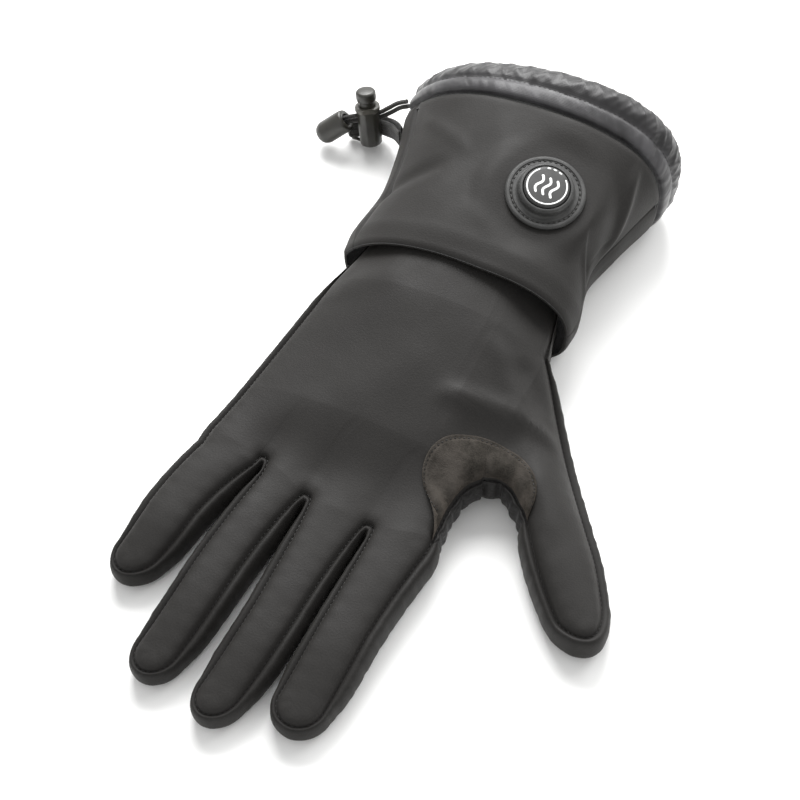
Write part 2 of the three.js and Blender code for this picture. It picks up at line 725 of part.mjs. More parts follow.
// A solid through closed rings of points, with flat ends.
function loft(rings) {
  const points = rings.flat();
  const size = rings[0].length;
  const triangles = [];
  for (let r = 0; r + 1 < rings.length; r++)
    for (let k = 0; k < size; k++) {
      const next = (k + 1) % size;
      const quad = [r * size + k, r * size + next, (r + 1) * size + next, (r + 1) * size + k];
      triangles.push(...halves(quad));
    }
  const last = (rings.length - 1) * size;
  for (let k = 1; k + 1 < size; k++) triangles.push([0, k + 1, k], [last, last + k, last + k + 1]);
  return solid(points, triangles);
}

// A turned piece from a profile of [radius, height] pairs.
function turned(profile, segments) {
  const points = profile.map(([radius, height]) => new THREE.Vector2(radius, height));
  return new THREE.LatheGeometry(points, segments).rotateX(Math.PI / 2);
}

// The solid of a geometry, to be joined and cut.
function cuttable(geometry) {
  const bare = geometry.clone();
  bare.deleteAttribute("normal");
  bare.deleteAttribute("uv");
  const merged = mergeVertices(bare, 1e-4);
  const vertProperties = new Float32Array(merged.attributes.position.array);
  const triVerts = new Uint32Array(merged.index.array);
  return new wasm.Manifold(new wasm.Mesh({ numProp: 3, vertProperties, triVerts }));
}

function uncut(made) {
  const { vertProperties, triVerts } = made.getMesh();
  const geometry = new THREE.BufferGeometry();
  geometry.setAttribute("position", new THREE.BufferAttribute(vertProperties, 3));
  geometry.setIndex(new THREE.BufferAttribute(triVerts, 1));
  geometry.computeVertexNormals();
  return geometry;
}

// The button's stitched flange with its housing ring, standing on z = 0.
function buttonFlange() {
  const rim = flangeDiameter / 2;
  const outer = housingDiameter / 2;
  const bore = outer - housingWall;
  return turned(
    [
      [0, 0],
      [rim - 0.4, 0],
      [rim, 0.5],
      [rim - 0.5, flangeThickness],
      [outer + 0.7, flangeThickness],
      [outer, flangeThickness + 0.7],
      [outer - 0.3, housingHeight - 0.4],
      [outer - 0.8, housingHeight],
      [bore, housingHeight],
      [bore, housingFloor],
      [0, housingFloor],
    ],
    buttonSides,
  );
}

// The cap that moves in the housing: its floor clears the flange by its travel.
function buttonCap() {
  const radius = housingDiameter / 2 - housingWall - slideGap;
  const top = housingHeight + capProud;
  const low = housingFloor + buttonTravel + slideGap;
  return turned(
    [
      [0, low],
      [radius, low],
      [radius, top - capBevel],
      [radius - capBevel, top],
      [0, top],
    ],
    buttonSides,
  );
}

// The window that both strands go through.
const windowWidth = cordDiameter + 2 * slideGap;
const windowHeight = 2 * cordDiameter + cordGap + 2 * slideGap;

// A bar across the lock along its x axis, to cut a window with.
function windowCut(width, height, middle) {
  return cuttable(new THREE.BoxGeometry(2 * lockDiameter, width, height).translate(0, 0, middle));
}

function lockBody() {
  const radius = lockDiameter / 2;
  const bore = plungerDiameter / 2 + slideGap;
  const barrel = turned(
    [
      [0, 0],
      [radius - 1.2, 0],
      [radius - 0.3, 0.5],
      [radius - 0.1, 1.6],
      [radius, lockHeight - lockRimHeight - 0.5],
      [radius + lockRim, lockHeight - lockRimHeight],
      [radius + lockRim, lockHeight - 0.5],
      [radius + lockRim - 0.5, lockHeight],
      [bore, lockHeight],
      [bore, lockFloor],
      [0, lockFloor],
    ],
    lockSides,
  );
  let body = cuttable(barrel).subtract(windowCut(windowWidth, windowHeight, cordHeight));
  const reachOut = Math.hypot(barOut, barBehind);
  const armStart = bore + 0.5;
  const armLength = reachOut - armStart;
  const turn = Math.atan2(barBehind, barOut);
  const lowArm = tapeHeight - tapeWidth / 2 - slideGap - armThickness / 2;
  const highArm = tapeHeight + tapeWidth / 2 + slideGap + armThickness / 2;
  for (const height of [lowArm, highArm]) {
    const arm = new THREE.BoxGeometry(armLength, barDiameter, armThickness);
    arm.translate(armStart + armLength / 2, 0, height).rotateZ(turn);
    body = body.add(cuttable(arm));
  }
  const barLength = highArm - lowArm + armThickness;
  const bar = new THREE.CylinderGeometry(barDiameter / 2, barDiameter / 2, barLength, barSides);
  bar.rotateX(Math.PI / 2).translate(barOut, barBehind, (highArm + lowArm) / 2);
  return uncut(body.add(cuttable(bar)));
}

function lockPlunger() {
  const radius = plungerDiameter / 2;
  const head = plungerHeadDiameter / 2;
  const cordLow = cordHeight - (2 * cordDiameter + cordGap) / 2 - slideGap;
  const cutHeight = windowHeight + plungerTravel;
  const low = lockFloor + plungerTravel + slideGap;
  const headLow = lockHeight + plungerTravel + slideGap;
  const plunger = turned(
    [
      [0, low],
      [radius, low],
      [radius, headLow],
      [head - 0.4, headLow],
      [head, headLow + 0.6],
      [head, headLow + plungerHeadHeight - 1.4],
      [head - 0.7, headLow + plungerHeadHeight - 0.4],
      [head - 2, headLow + plungerHeadHeight],
      [0, headLow + plungerHeadHeight],
    ],
    lockSides,
  );
  return uncut(cuttable(plunger).subtract(windowCut(windowWidth, cutHeight, cordLow + cutHeight / 2)));
}

// The bell on the cords' ends, its mouth at z = 0 and its round end up.
function cordEnd() {
  const radius = bellDiameter / 2;
  const socket = cordDiameter + cordGap + slideGap;
  return turned(
    [
      [0, bellSocket],
      [socket, bellSocket],
      [socket, 0],
      [radius - 0.8, 0],
      [radius - 0.3, 0.4],
      [radius, 3],
      [radius, bellLength - 3],
      [radius * 0.86, bellLength - 1.4],
      [radius * 0.55, bellLength - 0.3],
      [0, bellLength],
    ],
    bellSides,
  );
}

const root = new THREE.Group();

function add(name, geometry, finish, parent = root) {
  const mesh = new THREE.Mesh(geometry, finish);
  mesh.name = name;
  parent.add(mesh);
  return mesh;
}

add("back_panel", backPanel(), softshell);
add("palm_panel", palmPanel(), suede);
const stripFinish = {
  side_wall_ulnar: [sideWall, sideBulge, softshell],
  fourchette_little_ring: [fourchetteWall, fourchetteBulge, softshell],
  fourchette_ring_middle: [fourchetteWall, fourchetteBulge, softshell],
  fourchette_middle_index: [fourchetteWall, fourchetteBulge, softshell],
  index_side_strip: [sideWall, indexBulge, softshell],
  crotch_gusset: [gussetWall, fourchetteBulge, leather],
  thumb_side_strip: [sideWall, fourchetteBulge, softshell],
};
for (const { name, indices } of sheet.outline) {
  const [thickness, bulge, finish] = stripFinish[name];
  add(name, sideStrip(indices, thickness, bulge), finish);
}
add("thumb_crotch_patch", crotchPatch(), suede);

const cuffPanel = (from, to, rows) => ringPanel(cuffSurface, from, to, cuffSteps, rows, cuffWall);
add("cuff_back_panel", cuffPanel(rightSeamTurn, leftSeamTurn, cuffBackSteps), softshell);
const underFrom = leftSeamTurn + seamTurn;
const underTo = rightSeamTurn + 2 * Math.PI - seamTurn;
add("cuff_palm_panel", cuffPanel(underFrom, underTo, cuffPalmSteps), softshell);
const tunnelTo = slitHighTurn + 2 * Math.PI;
const tunnel = ringPanel(tunnelSurface, slitLowTurn, tunnelTo, tunnelSteps, tunnelRowSteps, tunnelWall);
add("drawcord_tunnel", tunnel, nylon);

const button = new THREE.Group();
button.position.copy(buttonSeat).addScaledVector(seatNormal, seamGap);
button.quaternion.setFromUnitVectors(new THREE.Vector3(0, 0, 1), seatNormal);
root.add(button);
add("button_flange", buttonFlange(), rubber, button);
add("button_cap", buttonCap(), rubber, button);

// The lock stands beside the cuff's opening.
const anchor = cuffPoint(Math.PI, anchorAlong);
const lockFoot = new THREE.Vector3(anchor.x - lockOut, anchor.y, lockFootHeight);
const lockAxis = new THREE.Vector3(...lockLean).normalize();
const cordWay = new THREE.Vector3(...cordLean);
cordWay.addScaledVector(lockAxis, -cordWay.dot(lockAxis)).normalize();
const lockFront = new THREE.Vector3().crossVectors(lockAxis, cordWay);
const lock = new THREE.Group();
lock.position.copy(lockFoot);
lock.quaternion.setFromRotationMatrix(new THREE.Matrix4().makeBasis(cordWay, lockFront, lockAxis));
root.add(lock);
add("cord_lock_body", lockBody(), plastic, lock);
add("cord_lock_plunger", lockPlunger(), plastic, lock);
const fromLock = (x, y, z) =>
  lockFoot.clone().addScaledVector(cordWay, x).addScaledVector(lockFront, y).addScaledVector(lockAxis, z);

// The middle of the two strands: out of the tunnel's slit, through the lock and into the bell.
const bellMouth = fromLock(9.5, -1.8, 13.9);
const bellWay = new THREE.Vector3(-0.68, -0.34, -0.65).normalize();
const slit = tunnelSurface((slitLowTurn + slitHighTurn) / 2, slitAlong);
const cordRoute = [
  [0, 0, 1.6],
  [-4.2, -0.2, -1.2],
  [-8, -1.3, -4.7],
];
const strandMiddle = [
  ...cordRoute.map(([x, y, z]) => new THREE.Vector3(x, y, z).add(slit)),
  fromLock(-5.5, 0, cordHeight),
  fromLock(0, 0, cordHeight),
  fromLock(5.5, 0, cordHeight),
  bellMouth.clone().addScaledVector(bellWay, 0.6),
  bellMouth.clone().addScaledVector(bellWay, bellSocket - 0.6),
];
const strandApart = (cordDiameter + cordGap) / 2;
function strand(side) {
  const beside = strandMiddle.map((p, i) => {
    const before = strandMiddle[Math.max(0, i - 1)];
    const after = strandMiddle[Math.min(strandMiddle.length - 1, i + 1)];
    const along = after.clone().sub(before).normalize();
    const up = lockAxis.clone().addScaledVector(along, -lockAxis.dot(along)).normalize();
    return p.clone().addScaledVector(up, side * strandApart);
  });
  const path = new THREE.CatmullRomCurve3(beside, false, "centripetal");
  const section = new THREE.Shape();
  for (let k = 0; k < cordSides; k++) {
    const angle = (2 * Math.PI * k) / cordSides;
    const x = (cordDiameter / 2) * Math.cos(angle);
    const y = (cordDiameter / 2) * Math.sin(angle);
    if (k) section.lineTo(x, y);
    else section.moveTo(x, y);
  }
  return new THREE.ExtrudeGeometry(section, { steps: strandSteps, extrudePath: path, curveSegments: 1 });
}
add("drawcord_strand_upper", strand(1), elastic);
add("drawcord_strand_lower", strand(-1), elastic);

const bell = new THREE.Group();
bell.position.copy(bellMouth);
bell.quaternion.setFromUnitVectors(new THREE.Vector3(0, 0, 1), bellWay);
root.add(bell);
add("cord_end", cordEnd(), plastic, bell);

// The tape's middle line: from the cuff past the lock, round the bar and back to the cuff.
const wrap = barDiameter / 2 + slideGap + tapeThickness / 2;
const tapeLine = [
  new THREE.Vector3(anchor.x - tapeEnd, anchor.y - tapeApart, tapeSewnHeight),
  fromLock(-9.7, 4.6, tapeHeight + 2.2),
  fromLock(-7.4, -1.2, tapeHeight + 0.6),
  fromLock(-3.8, -5.3, tapeHeight),
  fromLock(barOut - 3, barBehind + wrap, tapeHeight),
  ...[90, 50, 10, -30, -70, -90].map((degrees) => {
    const turn = THREE.MathUtils.degToRad(degrees);
    return fromLock(barOut + wrap * Math.cos(turn), barBehind + wrap * Math.sin(turn), tapeHeight);
  }),
  fromLock(barOut - 4, barBehind - wrap, tapeHeight),
  fromLock(-5.4, -7.9, tapeHeight),
  fromLock(-10, -2.6, tapeHeight + 0.8),
  fromLock(-12.4, 4, tapeHeight + 2.4),
  new THREE.Vector3(anchor.x - tapeEnd, anchor.y + tapeApart, tapeSewnHeight),
];
function tape() {
  const path = new THREE.CatmullRomCurve3(tapeLine, false, "centripetal");
  const rings = [];
  for (let k = 0; k <= tapeSteps; k++) {
    const middle = path.getPointAt(k / tapeSteps);
    const along = path.getTangentAt(k / tapeSteps);
    const out = new THREE.Vector3().crossVectors(along, lockAxis).setLength(tapeThickness / 2);
    const up = lockAxis.clone().multiplyScalar(tapeWidth / 2);
    const corner = (a, b) => middle.clone().addScaledVector(out, a).addScaledVector(up, b);
    rings.push([corner(1, -1), corner(-1, -1), corner(-1, 1), corner(1, 1)]);
  }
  return loft(rings);
}
add("anchor_tape", tape(), elastic);

export default root;
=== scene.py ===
"""A heated winter glove for the right hand, lying palm down, with a gathered drawcord at its cuff."""

import bpy
import numpy as np
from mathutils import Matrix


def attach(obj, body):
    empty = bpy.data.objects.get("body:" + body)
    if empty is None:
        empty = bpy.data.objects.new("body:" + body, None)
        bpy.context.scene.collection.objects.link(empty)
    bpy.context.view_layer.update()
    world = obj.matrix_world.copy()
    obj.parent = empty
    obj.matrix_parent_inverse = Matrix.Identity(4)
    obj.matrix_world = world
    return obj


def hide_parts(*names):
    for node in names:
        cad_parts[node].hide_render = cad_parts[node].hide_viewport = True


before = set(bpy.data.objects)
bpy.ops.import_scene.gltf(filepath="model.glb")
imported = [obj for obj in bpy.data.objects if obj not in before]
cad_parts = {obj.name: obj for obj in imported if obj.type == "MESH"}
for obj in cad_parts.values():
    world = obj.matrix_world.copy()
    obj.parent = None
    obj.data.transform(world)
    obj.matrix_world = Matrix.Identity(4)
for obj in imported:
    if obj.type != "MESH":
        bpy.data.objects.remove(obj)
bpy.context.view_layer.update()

bl_info = {
    "name": "Heated glove",
    "version": (1, 0, 0),
    "blender": (4, 5, 0),
    "location": "View3D > Sidebar > Glove",
    "description": "Makes a heated winter glove piece by piece, and the table it lies on",
    "category": "Add Mesh",
}

# Every shape is worked out in millimetres and goes into its mesh in metres.
METRE = 1000.0

# Shares and sizes that the pieces are drawn with. The main sizes are in GloveSizes, further down.
PALM_WIDTH = 97.0
FINGERTIP_REACH = 147.0
WRIST_REACH = 62.0
FINGER_WIDTH = 20.0
FINGER_HEIGHT = 17.0
FINGER_CROWN = 2.6
FINGERTIP_RADIUS = 8.5
HAND_DEPTH = 42.0
THUMB_TIP_ROUNDING = 0.07
CROWN_FULLNESS = 2.3
UNDER_TUCK = 3.0
SEAM_TUCK = 2.0
TIP_BULGE = 3.0
CUFFED_BULGE = 1.4
WEB_PLACE = (45.0, -20.0)
GUSSET_SEAM = (49.7, -21.1)
WEB_REACH, WEB_LIFT = 17.0, 4.5
FINGER_TUCK = 0.75
CROTCH_TUCK = 0.5
TIP_TUCK_SHARE = 1.2
PATCH_RADIUS = 22.0
PATCH_DEPTH = 17.5
PATCH_ACROSS = 0.439
PATCH_ALONG = 0.16
PATCH_TURNS = (246.0, -2.0)
SEAM_GAP = 0.3
CUFF_WIDTH = 108.0
CUFF_DEPTH = 58.0
CUFF_LENGTH = 76.0
CUFF_HEM_PLACE = 52.0
CUFF_WALL = 2.8
TUNNEL_LENGTH = 20.0
WAIST_SHARE = 0.42
LEFT_SEAM, RIGHT_SEAM = np.radians(158.0), np.radians(2.0)
SLIT_LOW, SLIT_HIGH = np.radians(181.5), np.radians(171.0)

# Where the power button's middle is on the cuff, and how far the cuff is pressed in under it.
BUTTON_ACROSS, BUTTON_ALONG, SEAT_SINK = 18.5, 92.0, 1.3

# The cord lock's foot, the way it leans, and the way the cord goes through it.
LOCK_FOOT = np.array((-73.569, 122.680, 3.0))
LOCK_LEAN = np.array((-0.2055, 0.2165, 0.954))
CORD_LEAN = np.array((-0.826, -0.561, -0.051))
CORD_HEIGHT = 15.0
TAPE_HEIGHT = 5.9
BAR_OUT, BAR_BEHIND = 7.2, -7.6
BELL_PLACE = (9.5, -1.8, 13.9)
BELL_WAY = np.array((-0.68, -0.34, -0.65))
CORD_ROUTE = ((0.0, 0.0, 1.6), (-4.2, -0.2, -1.2), (-8.0, -1.3, -4.7))
BELL_SOCKET, BELL_LENGTH = 6.0, 15.6
BAR_RADIUS = 0.9

# Where the palm's flex lines are, along the hand.
FLEX_LINES = (-6.0, -46.0, -78.0, -104.0)

# The line that the back is evened out along, where the thumb joins the palm: across, and from and to
# along the hand; and how far beside it the evening reaches, how strong it is there and elsewhere, and
# its rounds.
JOIN_ACROSS, JOIN_FROM, JOIN_TO = 45.0, -26.0, 40.0
EVENED_REACH, EVENED_MOST, EVENED_LEAST, EVENED_ROUNDS = 17.0, 0.95, 0.25, 220

# How thick the cloth of each panel is, with its lining.
BACK_WALL, PALM_WALL, SIDE_WALL, FOURCHETTE_WALL, TUNNEL_WALL = 2.4, 2.2, 2.2, 1.5, 1.6

# A side strip's section: where its waist is between the seams, and how far its arc turns over the
# back's seam.
STRIP_WAIST, STRIP_TURN = 0.42, np.radians(114.0)

# The strips' bases stand this share of the padding's drop above the table.
PALM_RISE = 0.55

# The tunnel's row of stitches, as a share of its length, and the swelling of the band before it and the
# channel behind it.
TUNNEL_ROW, BAND_SWELL, CHANNEL_SWELL = 0.4, 0.5, 1.9

# The gathers' waves: how many go round the tunnel, their share of the height, phase, and lean along the
# tunnel.
GATHERS = ((15, 0.45, 0.0, 5.0), (26, 0.33, 1.3, -7.0), (41, 0.22, 2.9, 9.0))

# The crescent's row of stitches is this far inside its outer edge.
CRESCENT_ROW = 1.6

# The way up from the table.
UP = np.array((0.0, 0.0, 1.0))


def table(names, rows):
    """A table of numbers as one array for each named column."""
    return dict(zip(names.split(), np.array(rows, float).T, strict=True))


# Each finger: its centre line at root, middle and tip, its width there, where it starts and ends, and
# where the crotch line crosses its two edges.
FINGERS = table(
    "root mid tip root_width mid_width tip_width start end left right flare_left flare_right",
    [
        (-0.522, -0.599, -0.652, 1.18, 1.02, 0.84, 0.34, 0.754, 0.313, 0.323, 0.0, 1.6),
        (-0.266, -0.325, -0.375, 0.86, 0.92, 0.86, 0.354, 0.966, 0.327, 0.374, 1.6, 2.4),
        (-0.01, -0.033, -0.09, 1.03, 0.93, 0.84, 0.381, 1.0, 0.381, 0.388, 2.4, 2.2),
        (0.272, 0.23, 0.208, 1.12, 1.0, 1.0, 0.381, 0.939, 0.388, 0.354, 2.2, 0.0),
    ],
)

PALM_ROWS = table(
    "along left right left_z mid_z right_z",
    [
        (-0.39, -0.65, 0.388, 0.405, 0.48, 0.405),
        (-0.265, -0.63, 0.391, 0.41, 0.53, 0.41),
        (-0.21, -0.622, 0.402, 0.415, 0.57, 0.42),
        (-0.17, -0.613, 0.424, 0.42, 0.6, 0.435),
        (-0.136, -0.605, 0.464, 0.425, 0.63, 0.46),
        (0.0, -0.575, 0.468, 0.45, 0.72, 0.63),
        (0.3, -0.545, 0.472, 0.49, 0.84, 0.66),
        (0.58, -0.517, 0.474, 0.53, 0.94, 0.62),
        (0.86, -0.475, 0.44, 0.56, 0.97, 0.58),
        (1.0, -0.455, 0.42, 0.58, 1.0, 0.58),
    ],
)

THUMB_ROWS = table(
    "inner_x inner_y outer_x outer_y inner_z mid_z outer_z",
    [
        (0.464, -0.136, 0.474, 0.245, 0.46, 0.68, 0.62),
        (0.51, -0.131, 0.524, 0.204, 0.46, 0.64, 0.5),
        (0.567, -0.148, 0.595, 0.139, 0.45, 0.6, 0.38),
        (0.619, -0.177, 0.683, 0.061, 0.44, 0.57, 0.3),
        (0.66, -0.204, 0.792, -0.034, 0.43, 0.55, 0.26),
        (0.763, -0.299, 0.902, -0.129, 0.41, 0.52, 0.26),
        (0.866, -0.381, 1.012, -0.231, 0.38, 0.48, 0.29),
        (0.985, -0.47, 1.15, -0.404, 0.34, 0.4, 0.33),
    ],
)

CUFF_ROWS = table(
    "along left right top",
    [
        (0.0, -0.5, 0.46, 0.805),
        (0.18, -0.488, 0.44, 0.82),
        (0.42, -0.472, 0.415, 0.87),
        (0.68, -0.492, 0.46, 0.93),
        (1.0, -0.55, 0.53, 1.0),
    ],
)

# Folds in the back of the hand, in millimetres: from, to, half width and height. A negative height is a
# hollow.
FOLDS = (
    (10.0, 0.0, 50.0, 7.8, 3.6, 2.0),
    (40.0, 7.5, 68.0, 4.0, 3.3, 2.1),
    (22.0, 32.0, 50.0, 6.0, 3.6, 1.5),
    (22.0, -10.0, 54.0, -3.0, 6.5, -2.0),
    (34.0, 28.0, 56.0, 13.0, 5.0, -1.4),
    (-38.0, -42.0, 30.0, -36.0, 11.0, -0.8),
    (-52.0, 27.0, -14.0, 44.0, 7.0, 0.9),
    (56.0, -4.0, 79.0, -38.0, 5.5, 0.9),
    (-26.0, -18.0, 12.0, 18.0, 9.0, 0.8),
)

# Creases in the cuff: turn (degrees from the right side, over the top) and place along it at both ends,
# half width along it in millimetres, and height.
CREASES = (
    (8.0, 62.0, 0.28, 0.72, 4.4, -2.0),
    (4.0, 48.0, 0.5, 0.95, 4.4, 1.6),
    (120.0, 172.0, 0.55, 0.3, 4.0, -1.2),
    (6.0, 36.0, 0.2, 0.4, 3.0, 1.0),
    (60.0, 112.0, 0.22, 0.3, 5.0, 0.5),
    (112.0, 150.0, 0.62, 0.86, 4.0, 0.5),
)


# Numbers and surfaces, that every piece is worked out with.


def mix(a, b, share):
    return a + (b - a) * share


def smooth(low, high, value):
    """From 0 at low to 1 at high, level at both ends: 3 t squared minus 2 t cubed."""
    t = np.clip((value - low) / (high - low), 0, 1)
    return t * t * (3 - 2 * t)


def reach(share):
    return share * np.where(share < 0, FINGERTIP_REACH, WRIST_REACH)


def spread(steps):
    """Points as on a half circle, from -1 to 1, so that round ends get even steps: minus the cosine of
    the turn."""
    return -np.cos(np.pi * np.arange(steps + 1) / steps)


def through(places, values, at):
    """A smooth curve through values: Hermite pieces whose slopes are the mean of their neighbours'
    chords."""
    last = len(places) - 1
    low, high = np.maximum(np.arange(last + 1) - 1, 0), np.minimum(np.arange(last + 1) + 1, last)
    slope = (values[high] - values[low]) / (places[high] - places[low])
    k = np.clip(np.searchsorted(places, at) - 1, 0, last - 1)
    span = places[k + 1] - places[k]
    t = np.clip((at - places[k]) / span, 0, 1)
    near = (2 * t**3 - 3 * t**2 + 1) * values[k] + (t**3 - 2 * t**2 + t) * span * slope[k]
    return near + (3 * t**2 - 2 * t**3) * values[k + 1] + (t**3 - t**2) * span * slope[k + 1]


def unit(vectors):
    return vectors / np.maximum(np.linalg.norm(vectors, axis=-1, keepdims=True), 1e-9)


def grid_quads(rows, columns):
    """The quads of a grid of rows by columns points, each corner's index once."""
    at = np.arange(rows * columns).reshape(rows, columns)
    corners = at[:-1, :-1], at[:-1, 1:], at[1:, 1:], at[1:, :-1]
    return np.stack([corner.ravel() for corner in corners], axis=1)


def twins(points):
    """For every point the index of the first point in its place, to a tenth of a micron."""
    _, first, group = np.unique(np.round(points, 4), axis=0, return_index=True, return_inverse=True)
    return first[group.reshape(-1)]


def halves(quads):
    return np.concatenate([quads[:, [0, 1, 2]], quads[:, [0, 2, 3]]])


def normals(points, quads):
    """The mean normal at every point of a sheet: the sum of its quads' cross products, set to length
    one."""
    a, b, c, d = (points[quads[:, k]] for k in range(4))
    flat = np.cross(c - a, d - b)
    summed = np.zeros_like(points)
    for k in range(4):
        np.add.at(summed, quads[:, k], flat)
    return unit(summed)


def wall(points, quads, inner):
    """A closed wall from a sheet: the sheet, the inner sheet turned round, and a rim along each edge of
    one quad. Gives the points, the triangles, and for each triangle 1 if it faces inwards, else 0."""
    count = len(points)
    starts, ends = quads.ravel(), np.roll(quads, -1, axis=1).ravel()
    open_edge = ~np.isin(starts * count + ends, ends * count + starts)
    a, b = starts[open_edge], ends[open_edge]
    rim = np.stack([b, a, a + count, b + count], axis=1)
    outside, inside, sides = halves(quads), halves(quads + count)[:, ::-1], halves(rim)
    lining = np.concatenate([np.zeros(len(outside)), np.ones(len(inside)), np.zeros(len(sides))])
    return np.concatenate([points, inner]), np.concatenate([outside, inside, sides]), lining.astype(int)


def catmull_rom(points, count):
    """count points at even steps along the smooth curve through points: centripetal Hermite pieces,
    whose knots are spaced by the square root of the distance between points."""
    points = np.asarray(points, float)
    before = 2 * points[:1] - points[1:2]
    after = 2 * points[-1:] - points[-2:-1]
    p = np.concatenate([before, points, after])
    gaps = np.sqrt(np.linalg.norm(np.diff(p, axis=0), axis=1))[:, None]
    d0, d1, d2 = gaps[:-2], gaps[1:-1], gaps[2:]
    p0, p1, p2, p3 = p[:-3], p[1:-2], p[2:-1], p[3:]
    s1 = ((p1 - p0) / d0 - (p2 - p0) / (d0 + d1) + (p2 - p1) / d1) * d1
    s2 = ((p2 - p1) / d1 - (p3 - p1) / (d1 + d2) + (p3 - p2) / d2) * d1
    t = np.linspace(0, 1, 40, endpoint=False)[None, :, None]
    dense = (2 * t**3 - 3 * t**2 + 1) * p1[:, None] + (t**3 - 2 * t**2 + t) * s1[:, None]
    dense = dense + (3 * t**2 - 2 * t**3) * p2[:, None] + (t**3 - t**2) * s2[:, None]
    dense = np.concatenate([dense.reshape(-1, 3), points[-1:]])
    return evenly(dense, count)


def lengths(path):
    """How far along a path each of its points is."""
    return np.concatenate([[0.0], np.cumsum(np.linalg.norm(np.diff(path, axis=0), axis=1))])


def evenly(path, count):
    """count points at even steps along a path of straight pieces."""
    far = lengths(path)
    at = np.linspace(0, far[-1], count)
    return np.stack([np.interp(at, far, path[:, k]) for k in range(3)], axis=1)


def tube(path, section, up, scale=None):
    """A section carried along a path, square to it. section is points (across, up); the ends close on
    the middle. Gives points, triangles, and for each point its distance along the path and its share
    round the section."""
    along = unit(np.gradient(path, axis=0))
    rise = unit(up - along * (along * up).sum(axis=1, keepdims=True))
    side = np.cross(along, rise)
    closed = np.concatenate([section, section[:1]])
    scale = np.ones(len(path)) if scale is None else scale
    rings = path[:, None] + scale[:, None, None] * (
        side[:, None] * closed[None, :, :1] + rise[:, None] * closed[None, :, 1:]
    )
    ends = np.repeat(path[[0, -1], None], len(closed), axis=1)
    grid = np.concatenate([ends[:1], rings, ends[1:]])
    far = lengths(path)
    far = np.concatenate([far[:1], far, far[-1:]])
    turns = np.linspace(0, 1, len(closed))
    uv = np.stack(np.meshgrid(far / METRE, turns, indexing="ij"), axis=-1).reshape(-1, 2)
    quads = grid_quads(len(grid), len(closed))
    return grid.reshape(-1, 3), halves(quads), uv


def together(meshes):
    """Several meshes as one: their points one after the other, and their triangles numbered to
    match."""
    starts = np.cumsum([0] + [len(points) for points, _ in meshes[:-1]])
    triangles = [faces + start for (_, faces), start in zip(meshes, starts, strict=True)]
    return np.concatenate([points for points, _ in meshes]), np.concatenate(triangles)


def circle(radius, sides):
    turns = 2 * np.pi * np.arange(sides) / sides
    return radius * np.stack([np.cos(turns), np.sin(turns)], axis=1)


def rounded(profile, radius, steps=4):
    """A profile of points with each inner corner cut by a parabola that starts and ends radius away
    from it, or a third of the shorter side."""
    p = np.asarray(profile, float)
    before, corner, after = p[:-2], p[1:-1], p[2:]
    to_before, to_after = before - corner, after - corner
    most = np.minimum(np.linalg.norm(to_before, axis=1), np.linalg.norm(to_after, axis=1)) / 3
    cut = np.minimum(radius, most)[:, None]
    start, stop = corner + unit(to_before) * cut, corner + unit(to_after) * cut
    t = np.linspace(0, 1, steps + 1)[None, :, None]
    bent = (1 - t) ** 2 * start[:, None] + 2 * t * (1 - t) * corner[:, None] + t**2 * stop[:, None]
    return np.concatenate([p[:1], bent.reshape(-1, 2), p[-1:]])


def turned(profile, sides):
    """A turned piece from a profile of (radius, height): each profile point carried round the axis."""
    profile = np.asarray(profile, float)
    turns = 2 * np.pi * np.arange(sides + 1) / sides
    turns[-1] = 0
    x = profile[None, :, 0] * np.cos(turns)[:, None]
    y = profile[None, :, 0] * np.sin(turns)[:, None]
    z = np.broadcast_to(profile[None, :, 1], x.shape)
    points = np.stack([x, y, z], axis=-1).reshape(-1, 3)
    return points, grid_quads(sides + 1, len(profile))


def nearest(points, path):
    """For every point its level distance to a path and how far along the path the nearest place is."""
    start, step = path[:-1, :2], np.diff(path[:, :2], axis=0)
    square = np.maximum((step**2).sum(axis=1), 1e-12)
    far = np.concatenate([[0.0], np.cumsum(np.sqrt(square))])[:-1]
    found = []
    for part in np.array_split(points[:, :2], 24):
        offset = part[:, None] - start[None]
        t = np.clip((offset * step).sum(axis=2) / square, 0, 1)
        away = np.linalg.norm(offset - t[..., None] * step, axis=2)
        k = away.argmin(axis=1)
        rows = np.arange(len(part))
        found.append(np.stack([away[rows, k], far[k] + t[rows, k] * np.sqrt(square[k])], axis=1))
    return np.concatenate(found).T


def height_on(points, triangles, places):
    """The height of a sheet of triangles over level places, by the triangle that each place falls
    in."""
    a, b, c = (points[triangles[:, k]] for k in range(3))
    twice_area = (b[:, 0] - a[:, 0]) * (c[:, 1] - a[:, 1]) - (c[:, 0] - a[:, 0]) * (b[:, 1] - a[:, 1])
    heights = []
    for part in np.array_split(places, 12):
        x, y = part[:, 0, None] - a[None, :, 0], part[:, 1, None] - a[None, :, 1]
        v = (x * (c - a)[None, :, 1] - y * (c - a)[None, :, 0]) / twice_area
        w = (y * (b - a)[None, :, 0] - x * (b - a)[None, :, 1]) / twice_area
        k = np.minimum(np.minimum(v, w), 1 - v - w).argmax(axis=1)
        rows = np.arange(len(part))
        rise = v[rows, k] * (b - a)[k, 2] + w[rows, k] * (c - a)[k, 2]
        heights.append(a[k, 2] + rise)
    return np.concatenate(heights)


def evened(path, values, spread_mm):
    """Values along a path averaged over a length, with a bell curve as weight."""
    far = lengths(path[:, :2])
    weight = np.exp(-(((far[:, None] - far[None]) / spread_mm) ** 2)) * np.gradient(far)[None]
    return weight @ values / weight.sum(axis=1).reshape(-1, *[1] * (values.ndim - 1))


